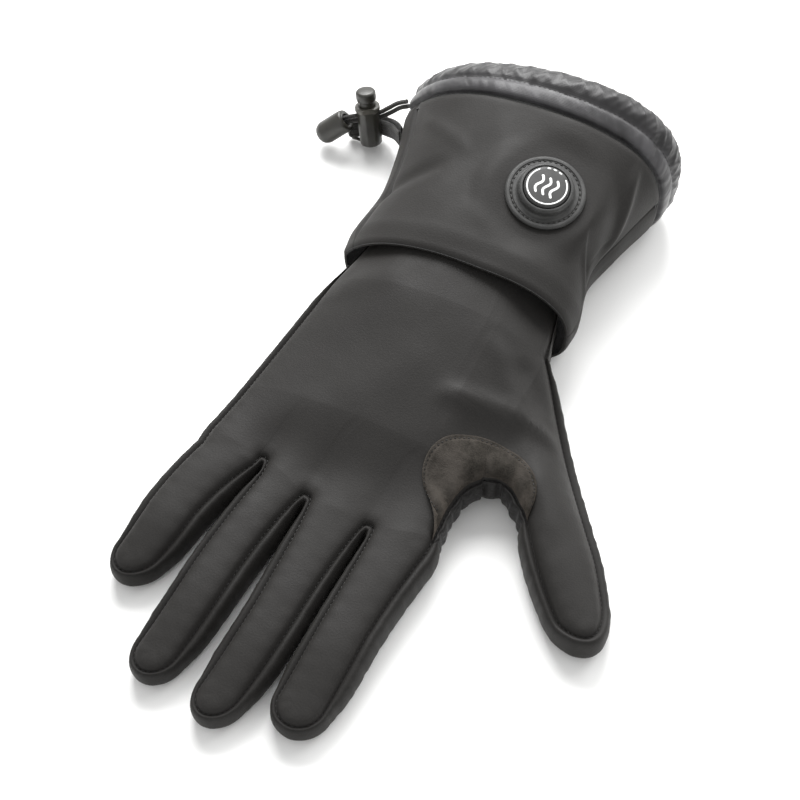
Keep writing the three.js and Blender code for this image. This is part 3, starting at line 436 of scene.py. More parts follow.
def relaxed(points, quads, weight, rounds):
    """Heights evened over the sheet: in each round every point moves by its weight towards the mean of
    its neighbours, where a neighbour counts by one over its level distance, so that an even slope stays
    as it is. Points that no quad uses have no neighbours and keep their height."""
    edges = np.concatenate([quads[:, [k, (k + 1) % 4]] for k in range(4)])
    edges = np.unique(np.sort(edges, axis=1), axis=0)
    a, b = np.concatenate([edges, edges[:, ::-1]]).T
    share = 1 / np.maximum(np.linalg.norm(points[a, :2] - points[b, :2], axis=1), 1e-3)
    total = np.maximum(np.bincount(a, share, len(points)), 1e-9)
    z = points[:, 2].copy()
    for _ in range(rounds):
        mean = np.bincount(a, share * z[b], len(points)) / total
        z = np.where(mean > 0, mix(z, mean, weight), z)
    return z


def seam_drop(distance, radius, drop, groove, width):
    """How far a panel falls towards its seam: a quarter ellipse that ends radius away, and a groove at
    the thread that fades by the square of the distance."""
    share = np.clip(distance / radius, 0, 1)
    return drop * (1 - np.sqrt(1 - (1 - share) ** 2)) + groove * np.exp(-((distance / width) ** 2))


def waviness(x, y, z, size):
    """A slow unevenness from -1 to 1, as padded cloth has: the mean of five sine waves in different
    directions."""
    ways = np.array(
        [(1.0, 0.3, 0.2), (-0.5, 1.1, 0.4), (0.7, -0.8, 1.0), (1.6, 1.2, -0.7), (-1.3, 1.9, 0.9)]
    )
    phases = np.array((0.4, 1.9, 3.1, 4.4, 5.8))
    place = np.stack([x, y, z], axis=-1) @ ways.T * (2 * np.pi / size)
    return np.sin(place + phases).mean(axis=-1)


def fold_height(x, y):
    """What all folds add: each a bell curve of the distance from its line, that fades in and out along
    it."""
    added = np.zeros_like(x)
    for from_x, from_y, to_x, to_y, width, height in FOLDS:
        bx, by = to_x - from_x, to_y - from_y
        t = np.clip(((x - from_x) * bx + (y - from_y) * by) / (bx * bx + by * by), 0, 1)
        away = np.hypot(x - from_x - t * bx, y - from_y - t * by) / width
        added += height * smooth(0, 0.3, t) * (1 - smooth(0.7, 1, t)) * np.exp(-away * away)
    return added


# The hand: its plan as one sheet, its two surfaces and the strips between them.


def finger_point(finger, u, t, tuck):
    """A finger's surface: u across from -1 to 1, t from the crotch line to the tip. The width and
    centre follow a curve through root, middle and tip, the edges flare towards the crotches by an
    exponential, the tip is a circle, and the height is a parabola across that falls towards the tip."""
    root_y = -mix(finger["left"], finger["right"], (u + 1) / 2) * FINGERTIP_REACH + CROTCH_TUCK * tuck
    tip_round = FINGERTIP_RADIUS * (1 - np.sqrt(np.maximum(0, 1 - u * u)))
    tip_y = tuck - finger["end"] * FINGERTIP_REACH + tip_round
    y = mix(root_y, tip_y, t)
    down = np.clip((-y / FINGERTIP_REACH - finger["start"]) / (finger["end"] - finger["start"]), 0, 1)
    first, second = np.minimum(1, 2 * down), np.maximum(0, 2 * down - 1)
    centre, width = (
        mix(mix(finger[a], finger[b], first), mix(finger[b], finger[c], second), down)
        for a, b, c in (("root", "mid", "tip"), ("root_width", "mid_width", "tip_width"))
    )
    flare = np.where(u < 0, finger["flare_left"], finger["flare_right"]) * np.exp(-t / 0.18)
    x = centre * PALM_WIDTH + u * (width * FINGER_WIDTH / 2 - FINGER_TUCK * tuck + flare)
    crown = FINGER_CROWN * (1 - smooth(0.55, 1.05, t)) * (1 - u * u)
    z = FINGER_HEIGHT * (1 - 0.14 * down * down) + crown - 2.0 * smooth(0.6, 1.05, t)
    return np.stack([x, y, z], axis=-1)


def palm_point(s, y, tuck):
    """The palm's surface: s across from its left edge, y along. A crown of power 2.3 stands on a
    sloping base."""
    places = reach(PALM_ROWS["along"])
    left, right, left_z, mid_z, right_z = (
        through(places, PALM_ROWS[key], y) for key in ("left", "right", "left_z", "mid_z", "right_z")
    )
    x = mix(left * PALM_WIDTH + tuck, right * PALM_WIDTH - tuck, s)
    arch = mid_z - (left_z + right_z) / 2
    crown = 1 - np.abs(2 * s - 1) ** CROWN_FULLNESS
    return np.stack([x, y, (mix(left_z, right_z, s) + arch * crown) * HAND_DEPTH], axis=-1)


def thumb_point(u, t, tuck):
    """The thumb's surface: t from base to tip, u from the inner to the outer edge, straight between the
    edges."""
    place = t * (1 - THUMB_TIP_ROUNDING * (1 - np.sqrt(np.maximum(0, 1 - u * u))))
    places = np.linspace(0, 1, len(THUMB_ROWS["inner_x"]))
    row = {key: through(places, values, place) for key, values in THUMB_ROWS.items()}
    arch = row["mid_z"] - (row["inner_z"] + row["outer_z"]) / 2
    s = (u + 1) / 2
    z = mix(row["inner_z"], row["outer_z"], s) + arch * (1 - np.abs(u) ** CROWN_FULLNESS)
    inner = np.stack([row["inner_x"] * PALM_WIDTH, row["inner_y"] * FINGERTIP_REACH], axis=-1)
    outer = np.stack([row["outer_x"] * PALM_WIDTH, row["outer_y"] * FINGERTIP_REACH], axis=-1)
    across = unit(outer - inner) * tuck
    level = mix(inner + across, outer - across, s[..., None])
    tip_share = (TIP_TUCK_SHARE * t * smooth(0, 0.3, t))[..., None]
    back = np.stack([-across[..., 1], across[..., 0]], axis=-1) * tip_share
    return np.concatenate([level + back, z[..., None] * HAND_DEPTH], axis=-1)


# How far each strip stands out from its seams at most, in millimetres, in the order of the outline.
STRIP_BULGES = {
    "side_wall_ulnar": 4.4,
    "fourchette_little_ring": 4.4,
    "fourchette_ring_middle": 4.8,
    "fourchette_middle_index": 4.8,
    "index_side_strip": 5.2,
    "crotch_gusset": 2.6,
    "thumb_side_strip": 4.5,
}
ACROSS, BETWEEN, FINGER_ROWS, THUMB_STEPS, GUSSET_SHARE = 24, 6, 90, 90, 8 / 14
PALM_FIRST, PALM_THUMB, PALM_LAST = 30, 30, 14


def hand_sheet(tuck):
    """The hand's plan as one sheet: a grid for the palm, one for each finger and one for the thumb,
    which share their border points. Gives points, quads and the point numbers of each strip of the
    outline, in order."""
    fingers = [{key: values[f] for key, values in FINGERS.items()} for f in range(4)]
    u = spread(ACROSS)
    roots = [finger_point(finger, u, np.zeros_like(u), tuck) for finger in fingers]
    crotch, dip = [], []
    for f in range(4):
        crotch.append(roots[f])
        dip.append(1 - u * u)
        if f < 3:
            t = np.linspace(0, 1, BETWEEN + 1)[1:-1, None]
            web = mix(roots[f][-1], roots[f + 1][0], t)
            web[:, 1] += 1.4 * np.sqrt(1 - (2 * t[:, 0] - 1) ** 2)
            crotch.append(web)
            dip.append(np.zeros(BETWEEN - 1))
    crotch, dip = np.concatenate(crotch), np.concatenate(dip)
    places = reach(PALM_ROWS["along"])
    thumb_start, thumb_stop = places[4], places[7]
    blend = (np.arange(1, PALM_FIRST + 1) / PALM_FIRST) ** 1.5
    zone = mix(thumb_start, thumb_stop, (spread(PALM_THUMB)[1:] + 1) / 2)
    last = mix(thumb_stop, WRIST_REACH, np.arange(1, PALM_LAST + 1) / PALM_LAST)
    stop = np.concatenate([np.full(PALM_FIRST, thumb_start), zone, last])[:, None]
    blend = np.concatenate([blend, np.ones(PALM_THUMB + PALM_LAST)])[:, None]
    start = crotch[None, :, 1]
    s = (crotch[:, 0] - crotch[0, 0]) / (crotch[-1, 0] - crotch[0, 0])
    s = np.broadcast_to(s, (len(stop), len(crotch)))
    place = mix(start, stop, blend)
    point = palm_point(s, place, tuck)
    settle = smooth(0, 1, np.minimum(1, (place - start) / (thumb_start - start)))
    shift = crotch[None, :, 0] - palm_point(s, np.broadcast_to(start, s.shape), tuck)[..., 0]
    point[..., 0] += shift * (1 - settle) ** 2
    point[..., 2] = mix(FINGER_HEIGHT + FINGER_CROWN * dip, point[..., 2], settle)
    palm = np.concatenate([crotch[None], point])

    t = (1 - (1 - np.linspace(0, 1, FINGER_ROWS + 1)) ** 1.4)[:, None]
    grids = [palm]
    for finger in fingers:
        grids.append(finger_point(finger, np.broadcast_to(u, (FINGER_ROWS + 1, ACROSS + 1)), t, tuck))
    t = (1 - (1 - np.linspace(0, 1, THUMB_STEPS + 1)) ** 1.2)[:, None]
    thumb_u = np.broadcast_to(spread(PALM_THUMB), (THUMB_STEPS + 1, PALM_THUMB + 1))
    thumb = thumb_point(thumb_u, np.broadcast_to(t, thumb_u.shape), tuck)
    border = palm[PALM_FIRST : PALM_FIRST + PALM_THUMB + 1, -1]
    thumb += (border - thumb[0])[None] * (1 - smooth(0, 0.35, t))[..., None]
    grids.append(thumb)

    offsets = np.concatenate([[0], np.cumsum([grid.shape[0] * grid.shape[1] for grid in grids])])
    at = [offsets[k] + np.arange(g.shape[0] * g.shape[1]).reshape(g.shape[:2]) for k, g in enumerate(grids)]
    points = np.concatenate([grid.reshape(-1, 3) for grid in grids])
    quads = [offsets[0] + grid_quads(*palm.shape[:2])]
    quads += [offsets[k] + grid_quads(*grids[k].shape[:2])[:, ::-1] for k in range(1, 6)]

    strips = {}
    lead = at[0][::-1, 0]
    for f, name in enumerate(list(STRIP_BULGES)[:4]):
        rows = at[1 + f]
        strips[name] = np.concatenate([lead, rows[1:, 0], rows[-1, 1:]])
        first = f * (ACROSS + BETWEEN) + ACROSS
        lead = np.concatenate([rows[::-1, -1], at[0][0, first + 1 : first + BETWEEN + 1]])
    strips["index_side_strip"] = at[4][::-1, -1]
    inner = at[5][:, 0]
    cut = int(round(GUSSET_SHARE * THUMB_STEPS))
    strips["crotch_gusset"] = np.concatenate([at[0][: PALM_FIRST + 1, -1], inner[1 : cut + 1]])
    above = at[0][PALM_FIRST + PALM_THUMB + 1 :, -1]
    strips["thumb_side_strip"] = np.concatenate([inner[cut:], at[5][-1, 1:], at[5][::-1, -1][1:], above])
    return points, np.concatenate(quads), strips


def welded_hand():
    """The top sheet, whose outline is the upper seam, and the under sheet, whose outline is the lower
    seam, with their border points joined, and the strips' point numbers."""
    top, quads, strips = hand_sheet(SEAM_TUCK)
    under, _, _ = hand_sheet(UNDER_TUCK)
    twin = twins(top)
    return top, under, twin[quads], {name: twin[numbers] for name, numbers in strips.items()}


TOP, UNDER, HAND_QUADS, STRIPS = welded_hand()
OUTLINE = np.concatenate([numbers if k == 0 else numbers[1:] for k, numbers in enumerate(STRIPS.values())])


def outline_bulge():
    """How far the strips stand out all along the outline: each strip's own bulge, less at the tips and
    inside the cuff, and never more than half the room to the seam across a crotch, averaged over 3
    mm."""
    path = TOP[OUTLINE][:, :2]
    far = lengths(path)
    counts = [len(STRIPS[name]) - (k > 0) for k, name in enumerate(STRIP_BULGES)]
    bulge = np.repeat(np.array(list(STRIP_BULGES.values())), counts)
    bulge = evened(path, bulge, 6.0)
    ends = np.stack([FINGERS["tip"] * PALM_WIDTH, -FINGERS["end"] * FINGERTIP_REACH], axis=1)
    to_tip = np.linalg.norm(path[:, None] - ends[None], axis=2).min(axis=1)
    bulge = mix(TIP_BULGE, bulge, smooth(9, 26, to_tip))
    bulge = mix(bulge, CUFFED_BULGE, smooth(22, 48, path[:, 1]))
    apart = np.linalg.norm(path[:, None] - path[None], axis=2)
    around = np.abs(far[:, None] - far[None])
    room = np.where(around > 1.5 * apart, apart, 99.0)
    room[around == 0] = 99.0
    return evened(path, np.minimum(bulge, room.min(axis=1) / 2 - 0.2), 3.0)


def under_lift(x, y):
    """How far the hand's underside is off the table: where it lies on the cuff's lower panel, and under
    the web between thumb and index finger, where it is arched by a bell curve."""
    on_cuff = (CUFF_WALL + 2 * SEAM_GAP) * smooth(CUFF_HEM_PLACE - 14, CUFF_HEM_PLACE - 1.5, y)
    web = np.hypot(x - WEB_PLACE[0], y - WEB_PLACE[1]) / WEB_REACH
    return on_cuff + WEB_LIFT * np.exp(-web * web)


def back_sheet():
    """The back's surface: the plan's height, evened out where the thumb joins the palm, with its folds,
    less the fall towards the seam, with puckers across the seam and a slow unevenness of the
    padding."""
    sizes = bpy.context.scene.glove_sizes
    points = TOP.copy()
    away, along = nearest(points, TOP[OUTLINE])
    join = np.stack([np.full(12, JOIN_ACROSS), np.linspace(JOIN_FROM, JOIN_TO, 12)], axis=1)
    to_join, _ = nearest(points, join)
    near_join = np.maximum(np.exp(-((to_join / EVENED_REACH) ** 2)), EVENED_LEAST)
    weight = EVENED_MOST * near_join * smooth(0.5, 5, away)
    points[:, 2] = relaxed(points, HAND_QUADS, weight, EVENED_ROUNDS)
    points[:, 2] += fold_height(points[:, 0], points[:, 1]) * smooth(0, 9, away)
    round_radius, drop = sizes.padding_round * METRE, sizes.padding_drop * METRE
    fall = seam_drop(away, round_radius, drop, sizes.seam_groove * METRE, 0.7)
    pucker = 0.09 * np.sin(along * 2 * np.pi / 7.3 + 1.7 * np.sin(along / 19)) * np.exp(-((away / 5) ** 2))
    slow = 0.2 * waviness(*points.T, 46.0) * smooth(2, 9, away)
    points[:, 2] += slow - fall + pucker * smooth(0, 1.5, away)
    return points


def smoothed_normals(path, spread_mm):
    """The level direction away from the hand along its outline: square to the path, then averaged over
    a length, so that it turns evenly round corners. The hand lies to the left of the path."""
    step = unit(np.gradient(path[:, :2], axis=0))
    out = np.stack([step[:, 1], -step[:, 0]], axis=1)
    return unit(evened(path, out, spread_mm))


OUTWARD = smoothed_normals(TOP[OUTLINE], 1.3)
BULGE = outline_bulge()


def strip_sheets(name, thickness, ripples, cross_seam, seams=()):
    """A side strip: from the palm's seam to the back's seam. Its section is a quarter ellipse up to its
    widest place, and from there an arc of 114 degrees that rises above the back's seam and dives into
    it. Ripples stand on it like cloth held short by its thread, and a small valley ends it where it is
    joined to the next strip, and lies at each further seam place."""
    sizes = bpy.context.scene.glove_sizes
    numbers = STRIPS[name]
    place = {int(number): k for k, number in enumerate(OUTLINE)}
    at = [place[int(number)] for number in numbers]
    outward, bulge = OUTWARD[at][:, None], BULGE[at][:, None]
    low, high = UNDER[numbers], BACK[numbers]
    far = lengths(high)
    turn = np.concatenate([np.linspace(-np.pi / 2, 0, 8)[:-1], np.linspace(0, STRIP_TURN, 15)])[None]
    over = np.clip((np.cos(turn) - np.cos(STRIP_TURN)) / (1 - np.cos(STRIP_TURN)), 0, 1) ** 0.75
    share = np.where(turn < 0, np.cos(turn) ** 0.7, over)
    wave = np.zeros_like(far)
    for pitch, part, phase in ((6.1, 0.45, 0.3), (9.7, 0.35, 2.1), (3.7, 0.2, 4.0)):
        wave += part * np.sin(far * 2 * np.pi / pitch + phase + 0.8 * np.sin(far / 17))
    wave = (wave * smooth(0, 4, far) * smooth(0, 4, far[-1] - far))[:, None]
    end = np.minimum(far, far[-1] - far)
    for seam in seams:
        middle = far[np.linalg.norm(high[:, :2] - np.array(seam), axis=1).argmin()]
        end = np.minimum(end, np.abs(far - middle))
    end = end[:, None]
    out = (bulge + ripples * wave) * share - cross_seam * np.exp(-((end / 1.5) ** 2)) * share
    rise = under_lift(low[:, 0], low[:, 1])[:, None] + sizes.padding_drop * METRE * PALM_RISE
    top = high[:, 2][:, None]
    waist = mix(rise, top, STRIP_WAIST)
    arc = waist + (top - waist) * np.sin(turn) / np.sin(STRIP_TURN)
    z = np.where(turn < 0, mix(rise, waist, 1 + np.sin(turn)), arc)
    z = z + 0.35 * ripples * wave * share
    v = np.linspace(0, 1, turn.shape[1])[None, :, None]
    level = mix(low[:, None, :2], high[:, None, :2], v)
    outer = np.concatenate([level + outward * out[..., None], z[..., None]], axis=-1)
    inner_z = waist + (z - waist) * (1 - thickness / np.maximum(top - waist, 2 * thickness))
    inner = np.concatenate([level + outward * (out - thickness)[..., None], inner_z[..., None]], axis=-1)
    return outer.reshape(-1, 3), grid_quads(len(far), turn.shape[1])[:, ::-1], inner.reshape(-1, 3)


def palm_sheet():
    """The palm's surface, facing down: flat where it lies, rising to its seam, with shallow flex
    lines."""
    sizes = bpy.context.scene.glove_sizes
    points = UNDER.copy()
    away, along = nearest(points, UNDER[OUTLINE])
    foot = sizes.padding_drop * METRE * PALM_RISE
    rise = seam_drop(away, sizes.padding_round * METRE * 0.8, foot, 0.0, 1.0)
    flex = 0.0
    for y in FLEX_LINES:
        flex = flex + 0.25 * np.exp(-(((points[:, 1] - y - 1.5 * np.sin(points[:, 0] / 9)) / 1.1) ** 2))
    pucker = 0.12 * (1 + np.sin(along * 2 * np.pi / 6.1)) * np.exp(-(((away - 2.5) / 2.5) ** 2))
    points[:, 2] = under_lift(points[:, 0], points[:, 1]) + rise + (flex + pucker) * smooth(0, 1.5, away)
    return points


# The cuff and its drawcord tunnel.


def cuff_point(turn, along):
    """The cuff's surface: turn from the right side over the top, along from hem to seam. Above the
    waist it is an ellipse of powers, lower and steeper on the left, whose crown leans to the right;
    below it is flattened."""
    place = np.minimum(1, along)
    left, right = (
        through(CUFF_ROWS["along"], CUFF_ROWS[key], place) * CUFF_WIDTH for key in ("left", "right")
    )
    top = through(CUFF_ROWS["along"], CUFF_ROWS["top"], place) * CUFF_DEPTH
    waist = WAIST_SHARE * top
    c, s = np.cos(turn), np.sin(turn)
    fullness = np.where(s < 0, 1.0, np.where(c < 0, 0.95, 0.86))
    above, below = np.maximum(0, s), np.maximum(0, -s)
    rise = mix(np.where(c < 0, 1.4, 0.92), 0.92, above)
    x = (left + right) / 2 + (right - left) / 2 * np.sign(c) * np.abs(c) ** fullness + 8.0 * above**2
    lower = np.maximum(0, waist - 1.6 * waist * below**0.72)
    z = np.where(s >= 0, waist + (top - waist) * above**rise, lower)
    return np.stack([x, CUFF_HEM_PLACE + along * CUFF_LENGTH, z], axis=-1)


def button_seat():
    """The button's middle on the cuff and the direction away from it: the cross product of two chords
    there."""
    share = (BUTTON_ALONG - CUFF_HEM_PLACE) / CUFF_LENGTH
    turns = np.linspace(np.pi / 4, 3 * np.pi / 4, 4001)
    x = cuff_point(turns, np.full_like(turns, share))[:, 0]
    turn = np.interp(-BUTTON_ACROSS, -x, turns)
    at = np.array([turn, turn + 0.2, turn - 0.2, turn, turn])
    along = np.array([share, share, share, share - 0.15, share + 0.15])
    middle, left, right, front, back = cuff_point(at, along)
    out = unit(np.cross(right - left, back - front))
    return middle - SEAT_SINK * out, out


SEAT, SEAT_OUT = button_seat()


def crease_height(turn, along):
    """What the creases add: bell curves along the cuff, that fade in and out over their turn."""
    degrees = np.degrees(turn)
    added = np.zeros_like(degrees)
    for from_turn, to_turn, from_along, to_along, width, height in CREASES:
        t = (degrees - from_turn) / (to_turn - from_turn)
        inside = smooth(0, 0.25, t) * (1 - smooth(0.75, 1, t))
        away = (along - mix(from_along, to_along, t)) * CUFF_LENGTH / width
        added = added + height * inside * np.exp(-away * away)
    return added


def pressed(points):
    """The cuff pressed flat under the button: points near the seat move on to its plane."""
    over = points - SEAT
    height = over @ SEAT_OUT
    away = np.sqrt(np.maximum(0, (over**2).sum(axis=-1) - height**2))
    flange = bpy.context.scene.glove_sizes.flange_diameter * METRE
    press = np.where(np.abs(height) > CUFF_DEPTH / 4, 0, 1 - smooth(0.62 * flange, 0.95 * flange, away))
    return points - SEAT_OUT * (height * press)[..., None]


def cuff_surface(turn, along):
    point = cuff_point(turn, along)
    push = crease_height(turn, along) + 0.4 * waviness(*np.moveaxis(point, -1, 0), 52.0)
    point[..., 0] += push * np.cos(turn)
    point[..., 2] = np.maximum(0, point[..., 2] + push * np.maximum(0, np.sin(turn)))
    return pressed(point)


def ring_sheets(surface, turns, along, thickness, fall):
    """A panel round the cuff: its outer sheet falls inwards by what fall gives, and its inner sheet is
    the bare surface moved in by the thickness. Normals come from small steps on the surface itself."""
    turn, place = np.meshgrid(turns, along, indexing="ij")
    near = 0.01
    round_it = surface(turn - near, place) - surface(turn + near, place)
    along_it = surface(turn, place + near) - surface(turn, place - near)
    out = unit(np.cross(round_it, along_it))
    middle = surface(turn, place)
    outer = middle - out * fall(turn, place)[..., None]
    inner = middle - out * thickness
    outer[..., 2], inner[..., 2] = np.maximum(outer[..., 2], 0), np.maximum(inner[..., 2], 0.3)
    return outer.reshape(-1, 3), grid_quads(len(turns), len(along)), inner.reshape(-1, 3)


def cuff_fall(from_turn, to_turn):
    """How far the cuff's face falls at its edges: drawn in and rolled at the hem, drawn into the seams
    at its sides and at the tunnel."""
    side = WAIST_SHARE * CUFF_DEPTH

    def fall(turn, along):
        hem = np.clip(along * CUFF_LENGTH / 2.8, 0, 1)
        rolled = 2.0 * (1 - np.sqrt(1 - (1 - hem) ** 2)) + 1.7 * (1 - smooth(0, 11, along * CUFF_LENGTH))
        seam = seam_drop(np.minimum(turn - from_turn, to_turn - turn) * side, 3.2, 0.9, 0.9, 0.7)
        end = seam_drop((1 - along) * CUFF_LENGTH, 4.0, 1.1, 1.0, 0.8)
        return np.maximum(rolled, np.maximum(seam, end))

    return fall


def tunnel_surface(turn, v):
    """The drawcord tunnel: a smooth band, a stitched line, then a puffed channel whose gathers deepen
    towards its mouth. Gathers are sharp-backed waves of several pitches that lean along the tunnel."""
    sizes = bpy.context.scene.glove_sizes
    point = cuff_point(turn, np.ones_like(turn))
    depth = sizes.gather_depth * METRE
    ridge = np.zeros_like(turn)
    for count, share, phase, lean in GATHERS:
        wave = np.sin(count * turn + phase + lean * v + 1.1 * np.sin(3 * turn + phase))
        ridge += share * (1 - 2 * np.abs(wave) ** 0.85)
    band = np.sin(np.pi * np.clip(v / TUNNEL_ROW, 0, 1)) * BAND_SWELL
    channel = np.sin(np.pi * np.clip((v - TUNNEL_ROW) / 0.72, 0, 1)) ** 0.7 * CHANNEL_SWELL
    swell = 1.7 * np.sin(np.pi * np.clip(v * 1.1, 0, 1)) - 1.0 * v * v + band + channel
    swell = swell + 3.4 * smooth(0.1, 0.9, v) * np.maximum(0, np.sin(turn)) * smooth(-0.6, 0.5, np.cos(turn))
    swell = swell - 1.6 * smooth(0.1, 0.9, v) * np.maximum(0, -np.cos(turn))
    deep = 0.12 + 0.88 * smooth(0.3, 0.55, v) * (1 - 0.45 * smooth(0.8, 1, v))
    swell = swell + depth * ridge * deep - 0.35 * np.exp(-(((v - TUNNEL_ROW) / 0.04) ** 2))
    mouth = 0.4 * depth * ridge * smooth(0.5, 1, v)
    point[..., 1] = CUFF_HEM_PLACE + CUFF_LENGTH + SEAM_GAP + v * TUNNEL_LENGTH + mouth
    point[..., 0] += swell * np.cos(turn)
    point[..., 2] = np.maximum(0, point[..., 2] + swell * np.maximum(0, np.sin(turn)))
    return point


def tunnel_fall(turn, v):
    """The tunnel's face rolled in at its mouth and drawn into its seam and its slit."""
    mouth = np.clip((1 - v) * TUNNEL_LENGTH / 2.4, 0, 1)
    rolled = 1.9 * (1 - np.sqrt(1 - (1 - mouth) ** 2))
    seam = seam_drop(np.maximum(0, v) * TUNNEL_LENGTH, 2.5, 0.9, 1.2, 0.8)
    side = WAIST_SHARE * CUFF_DEPTH
    slit = seam_drop(np.minimum(turn - SLIT_LOW, SLIT_HIGH + 2 * np.pi - turn) * side, 1.5, 0.7, 0.0, 1.0)
    return np.maximum(rolled, np.maximum(seam, slit))


# Stitches, the button, the lock, the cords and the tape.


def stitches(path, out, pitch, length, radius):
    """Stitches along a path: each a short thread whose ends dip into the cloth by the fourth power of
    the place along it, six-sided and closed."""
    far = lengths(path)
    count = max(2, int(far[-1] / pitch))
    middle = (np.arange(count) + 0.5) * far[-1] / count
    rings = np.linspace(-1, 1, 5)
    at = middle[:, None] + rings[None] * length / 2
    line = np.stack([np.interp(at, far, path[:, k]) for k in range(3)], axis=-1)
    up = unit(np.stack([np.interp(at, far, out[:, k]) for k in range(3)], axis=-1))
    along = unit(line[:, -1] - line[:, 0])[:, None]
    side = unit(np.cross(np.broadcast_to(along, up.shape), up))
    line = line + up * (radius * (1 - 2.2 * rings**4))[None, :, None]
    turns = 2 * np.pi * np.arange(7) / 6
    turns[-1] = 0
    size = radius * np.sqrt(np.maximum(0, 1 - rings**8))[None, :, None, None]
    c, s = np.cos(turns)[None, None, :, None], np.sin(turns)[None, None, :, None]
    round_it = c * side[:, :, None] + s * up[:, :, None]
    points = (line[:, :, None] + round_it * size).reshape(-1, 3)
    quads = grid_quads(5, 7)[None] + (np.arange(count) * 35)[:, None, None]
    return points, halves(quads.reshape(-1, 4))


def button_frame():
    """The button's own axes as rows: across, up towards the opening, and out of the cuff, with its
    middle."""
    up = unit(np.array((0.0, 1.0, 0.0)) - SEAT_OUT * SEAT_OUT[1])
    return np.stack([np.cross(up, SEAT_OUT), up, SEAT_OUT]), SEAT + SEAM_GAP * SEAT_OUT


def lock_frame():
    """The lock's own axes as rows: the cord's way, its front, and its axis, with its foot."""
    axis = unit(LOCK_LEAN)
    way = unit(CORD_LEAN - axis * (CORD_LEAN @ axis))
    return np.stack([way, np.cross(axis, way), axis]), LOCK_FOOT


def placed(points, own_frame):
    axes, origin = own_frame
    return np.asarray(points) @ axes + origin


def lock_barrel(sizes):
    """The lock's barrel as a wall of revolution: an outer and a bored sheet on the same turns and
    heights, with the quads left out where the cord's window goes through."""
    radius, height = sizes.lock_diameter / 2 * METRE, sizes.lock_height * METRE
    bore, floor = sizes.plunger_diameter / 2 * METRE + 0.3, 3.0
    sides = 96
    half_window = (2 * sizes.cord_diameter * METRE + 0.9) / 2
    low, high = CORD_HEIGHT - half_window, CORD_HEIGHT + half_window
    outer = [(0, 1.5), (radius - 1.6, 1.5), (radius - 0.8, 1.7), (radius - 0.25, 2.2), (radius - 0.12, 2.9)]
    outer += [(radius - 0.05, h) for h in (5.0, 8.0, low - 0.4, low, CORD_HEIGHT, high, high + 0.3)]
    ridge = height - 2.0
    outer += [(radius, ridge - 0.5), (radius + 0.35, ridge - 0.1), (radius + 0.5, ridge + 0.3)]
    outer += [(radius + 0.5, height - 0.7), (radius + 0.35, height - 0.25)]
    outer += [(radius, height), (bore + 0.3, height)]
    outer = np.array(outer)
    share = np.clip((outer[:, 1] - floor) / (height - floor), 0, 1)
    inner = np.stack([np.minimum(outer[:, 0], bore), floor + share * (height - floor)], axis=1)
    inner[4, :] = (bore, floor)
    inner[:4, 1] = floor
    inner[7:12, 1] = outer[7:12, 1]
    (outer_sheet, quads), (inner_sheet, _) = turned(outer, sides), turned(inner, sides)
    # A flat on each flank, where the mould closes.
    outer_sheet[:, 1] = np.clip(outer_sheet[:, 1], -radius * 0.93, radius * 0.93)
    middle = (np.arange(sides) + 0.5) * 2 * np.pi / sides
    in_window = (np.abs(np.sin(middle)) * radius < sizes.cord_diameter / 2 * METRE + 0.35)[:, None]
    rows = np.arange(len(outer) - 1)
    cut = in_window & ((rows >= 8) & (rows < 10))[None]
    return outer_sheet, quads[~cut.ravel()], inner_sheet


def strand_line(side, sizes):
    """The middle line of one strand: out of the slit, through the lock and into the bell, beside the
    other one."""
    lock = lock_frame()
    slit_turn = (SLIT_LOW + SLIT_HIGH) / 2
    slit = slit_point(slit_turn, 0.18)
    way = unit(BELL_WAY)
    mouth = placed([BELL_PLACE], lock)[0]
    through_lock = placed([(x, 0, CORD_HEIGHT) for x in (-5.5, 0.0, 5.5)], lock)
    bell = np.stack([mouth + 0.6 * way, mouth + (BELL_SOCKET - 0.6) * way])
    middle = np.concatenate([slit + np.array(CORD_ROUTE), through_lock, bell])
    along = unit(np.concatenate([middle[1:], middle[-1:]]) - np.concatenate([middle[:1], middle[:-1]]))
    axis = lock[0][2]
    up = unit(axis - along * (along @ axis)[:, None])
    beside = middle + up * side * (sizes.cord_diameter * METRE + 0.3) / 2
    return catmull_rom(beside, 90)


def slit_point(turn, v):
    """A point of the tunnel's plain swelling, without gathers, where the cord comes out."""
    point = cuff_point(np.array(turn), np.array(1.0))
    gathers = 1.1 * v * np.sin(16 * turn)
    swell = 2.2 * np.sin(np.pi * min(1, v * 1.15)) - 2.4 * v * v + gathers
    out, along, up = swell * np.cos(turn), SEAM_GAP + v * TUNNEL_LENGTH, swell * max(0, np.sin(turn))
    return point + np.array((out, along, up))


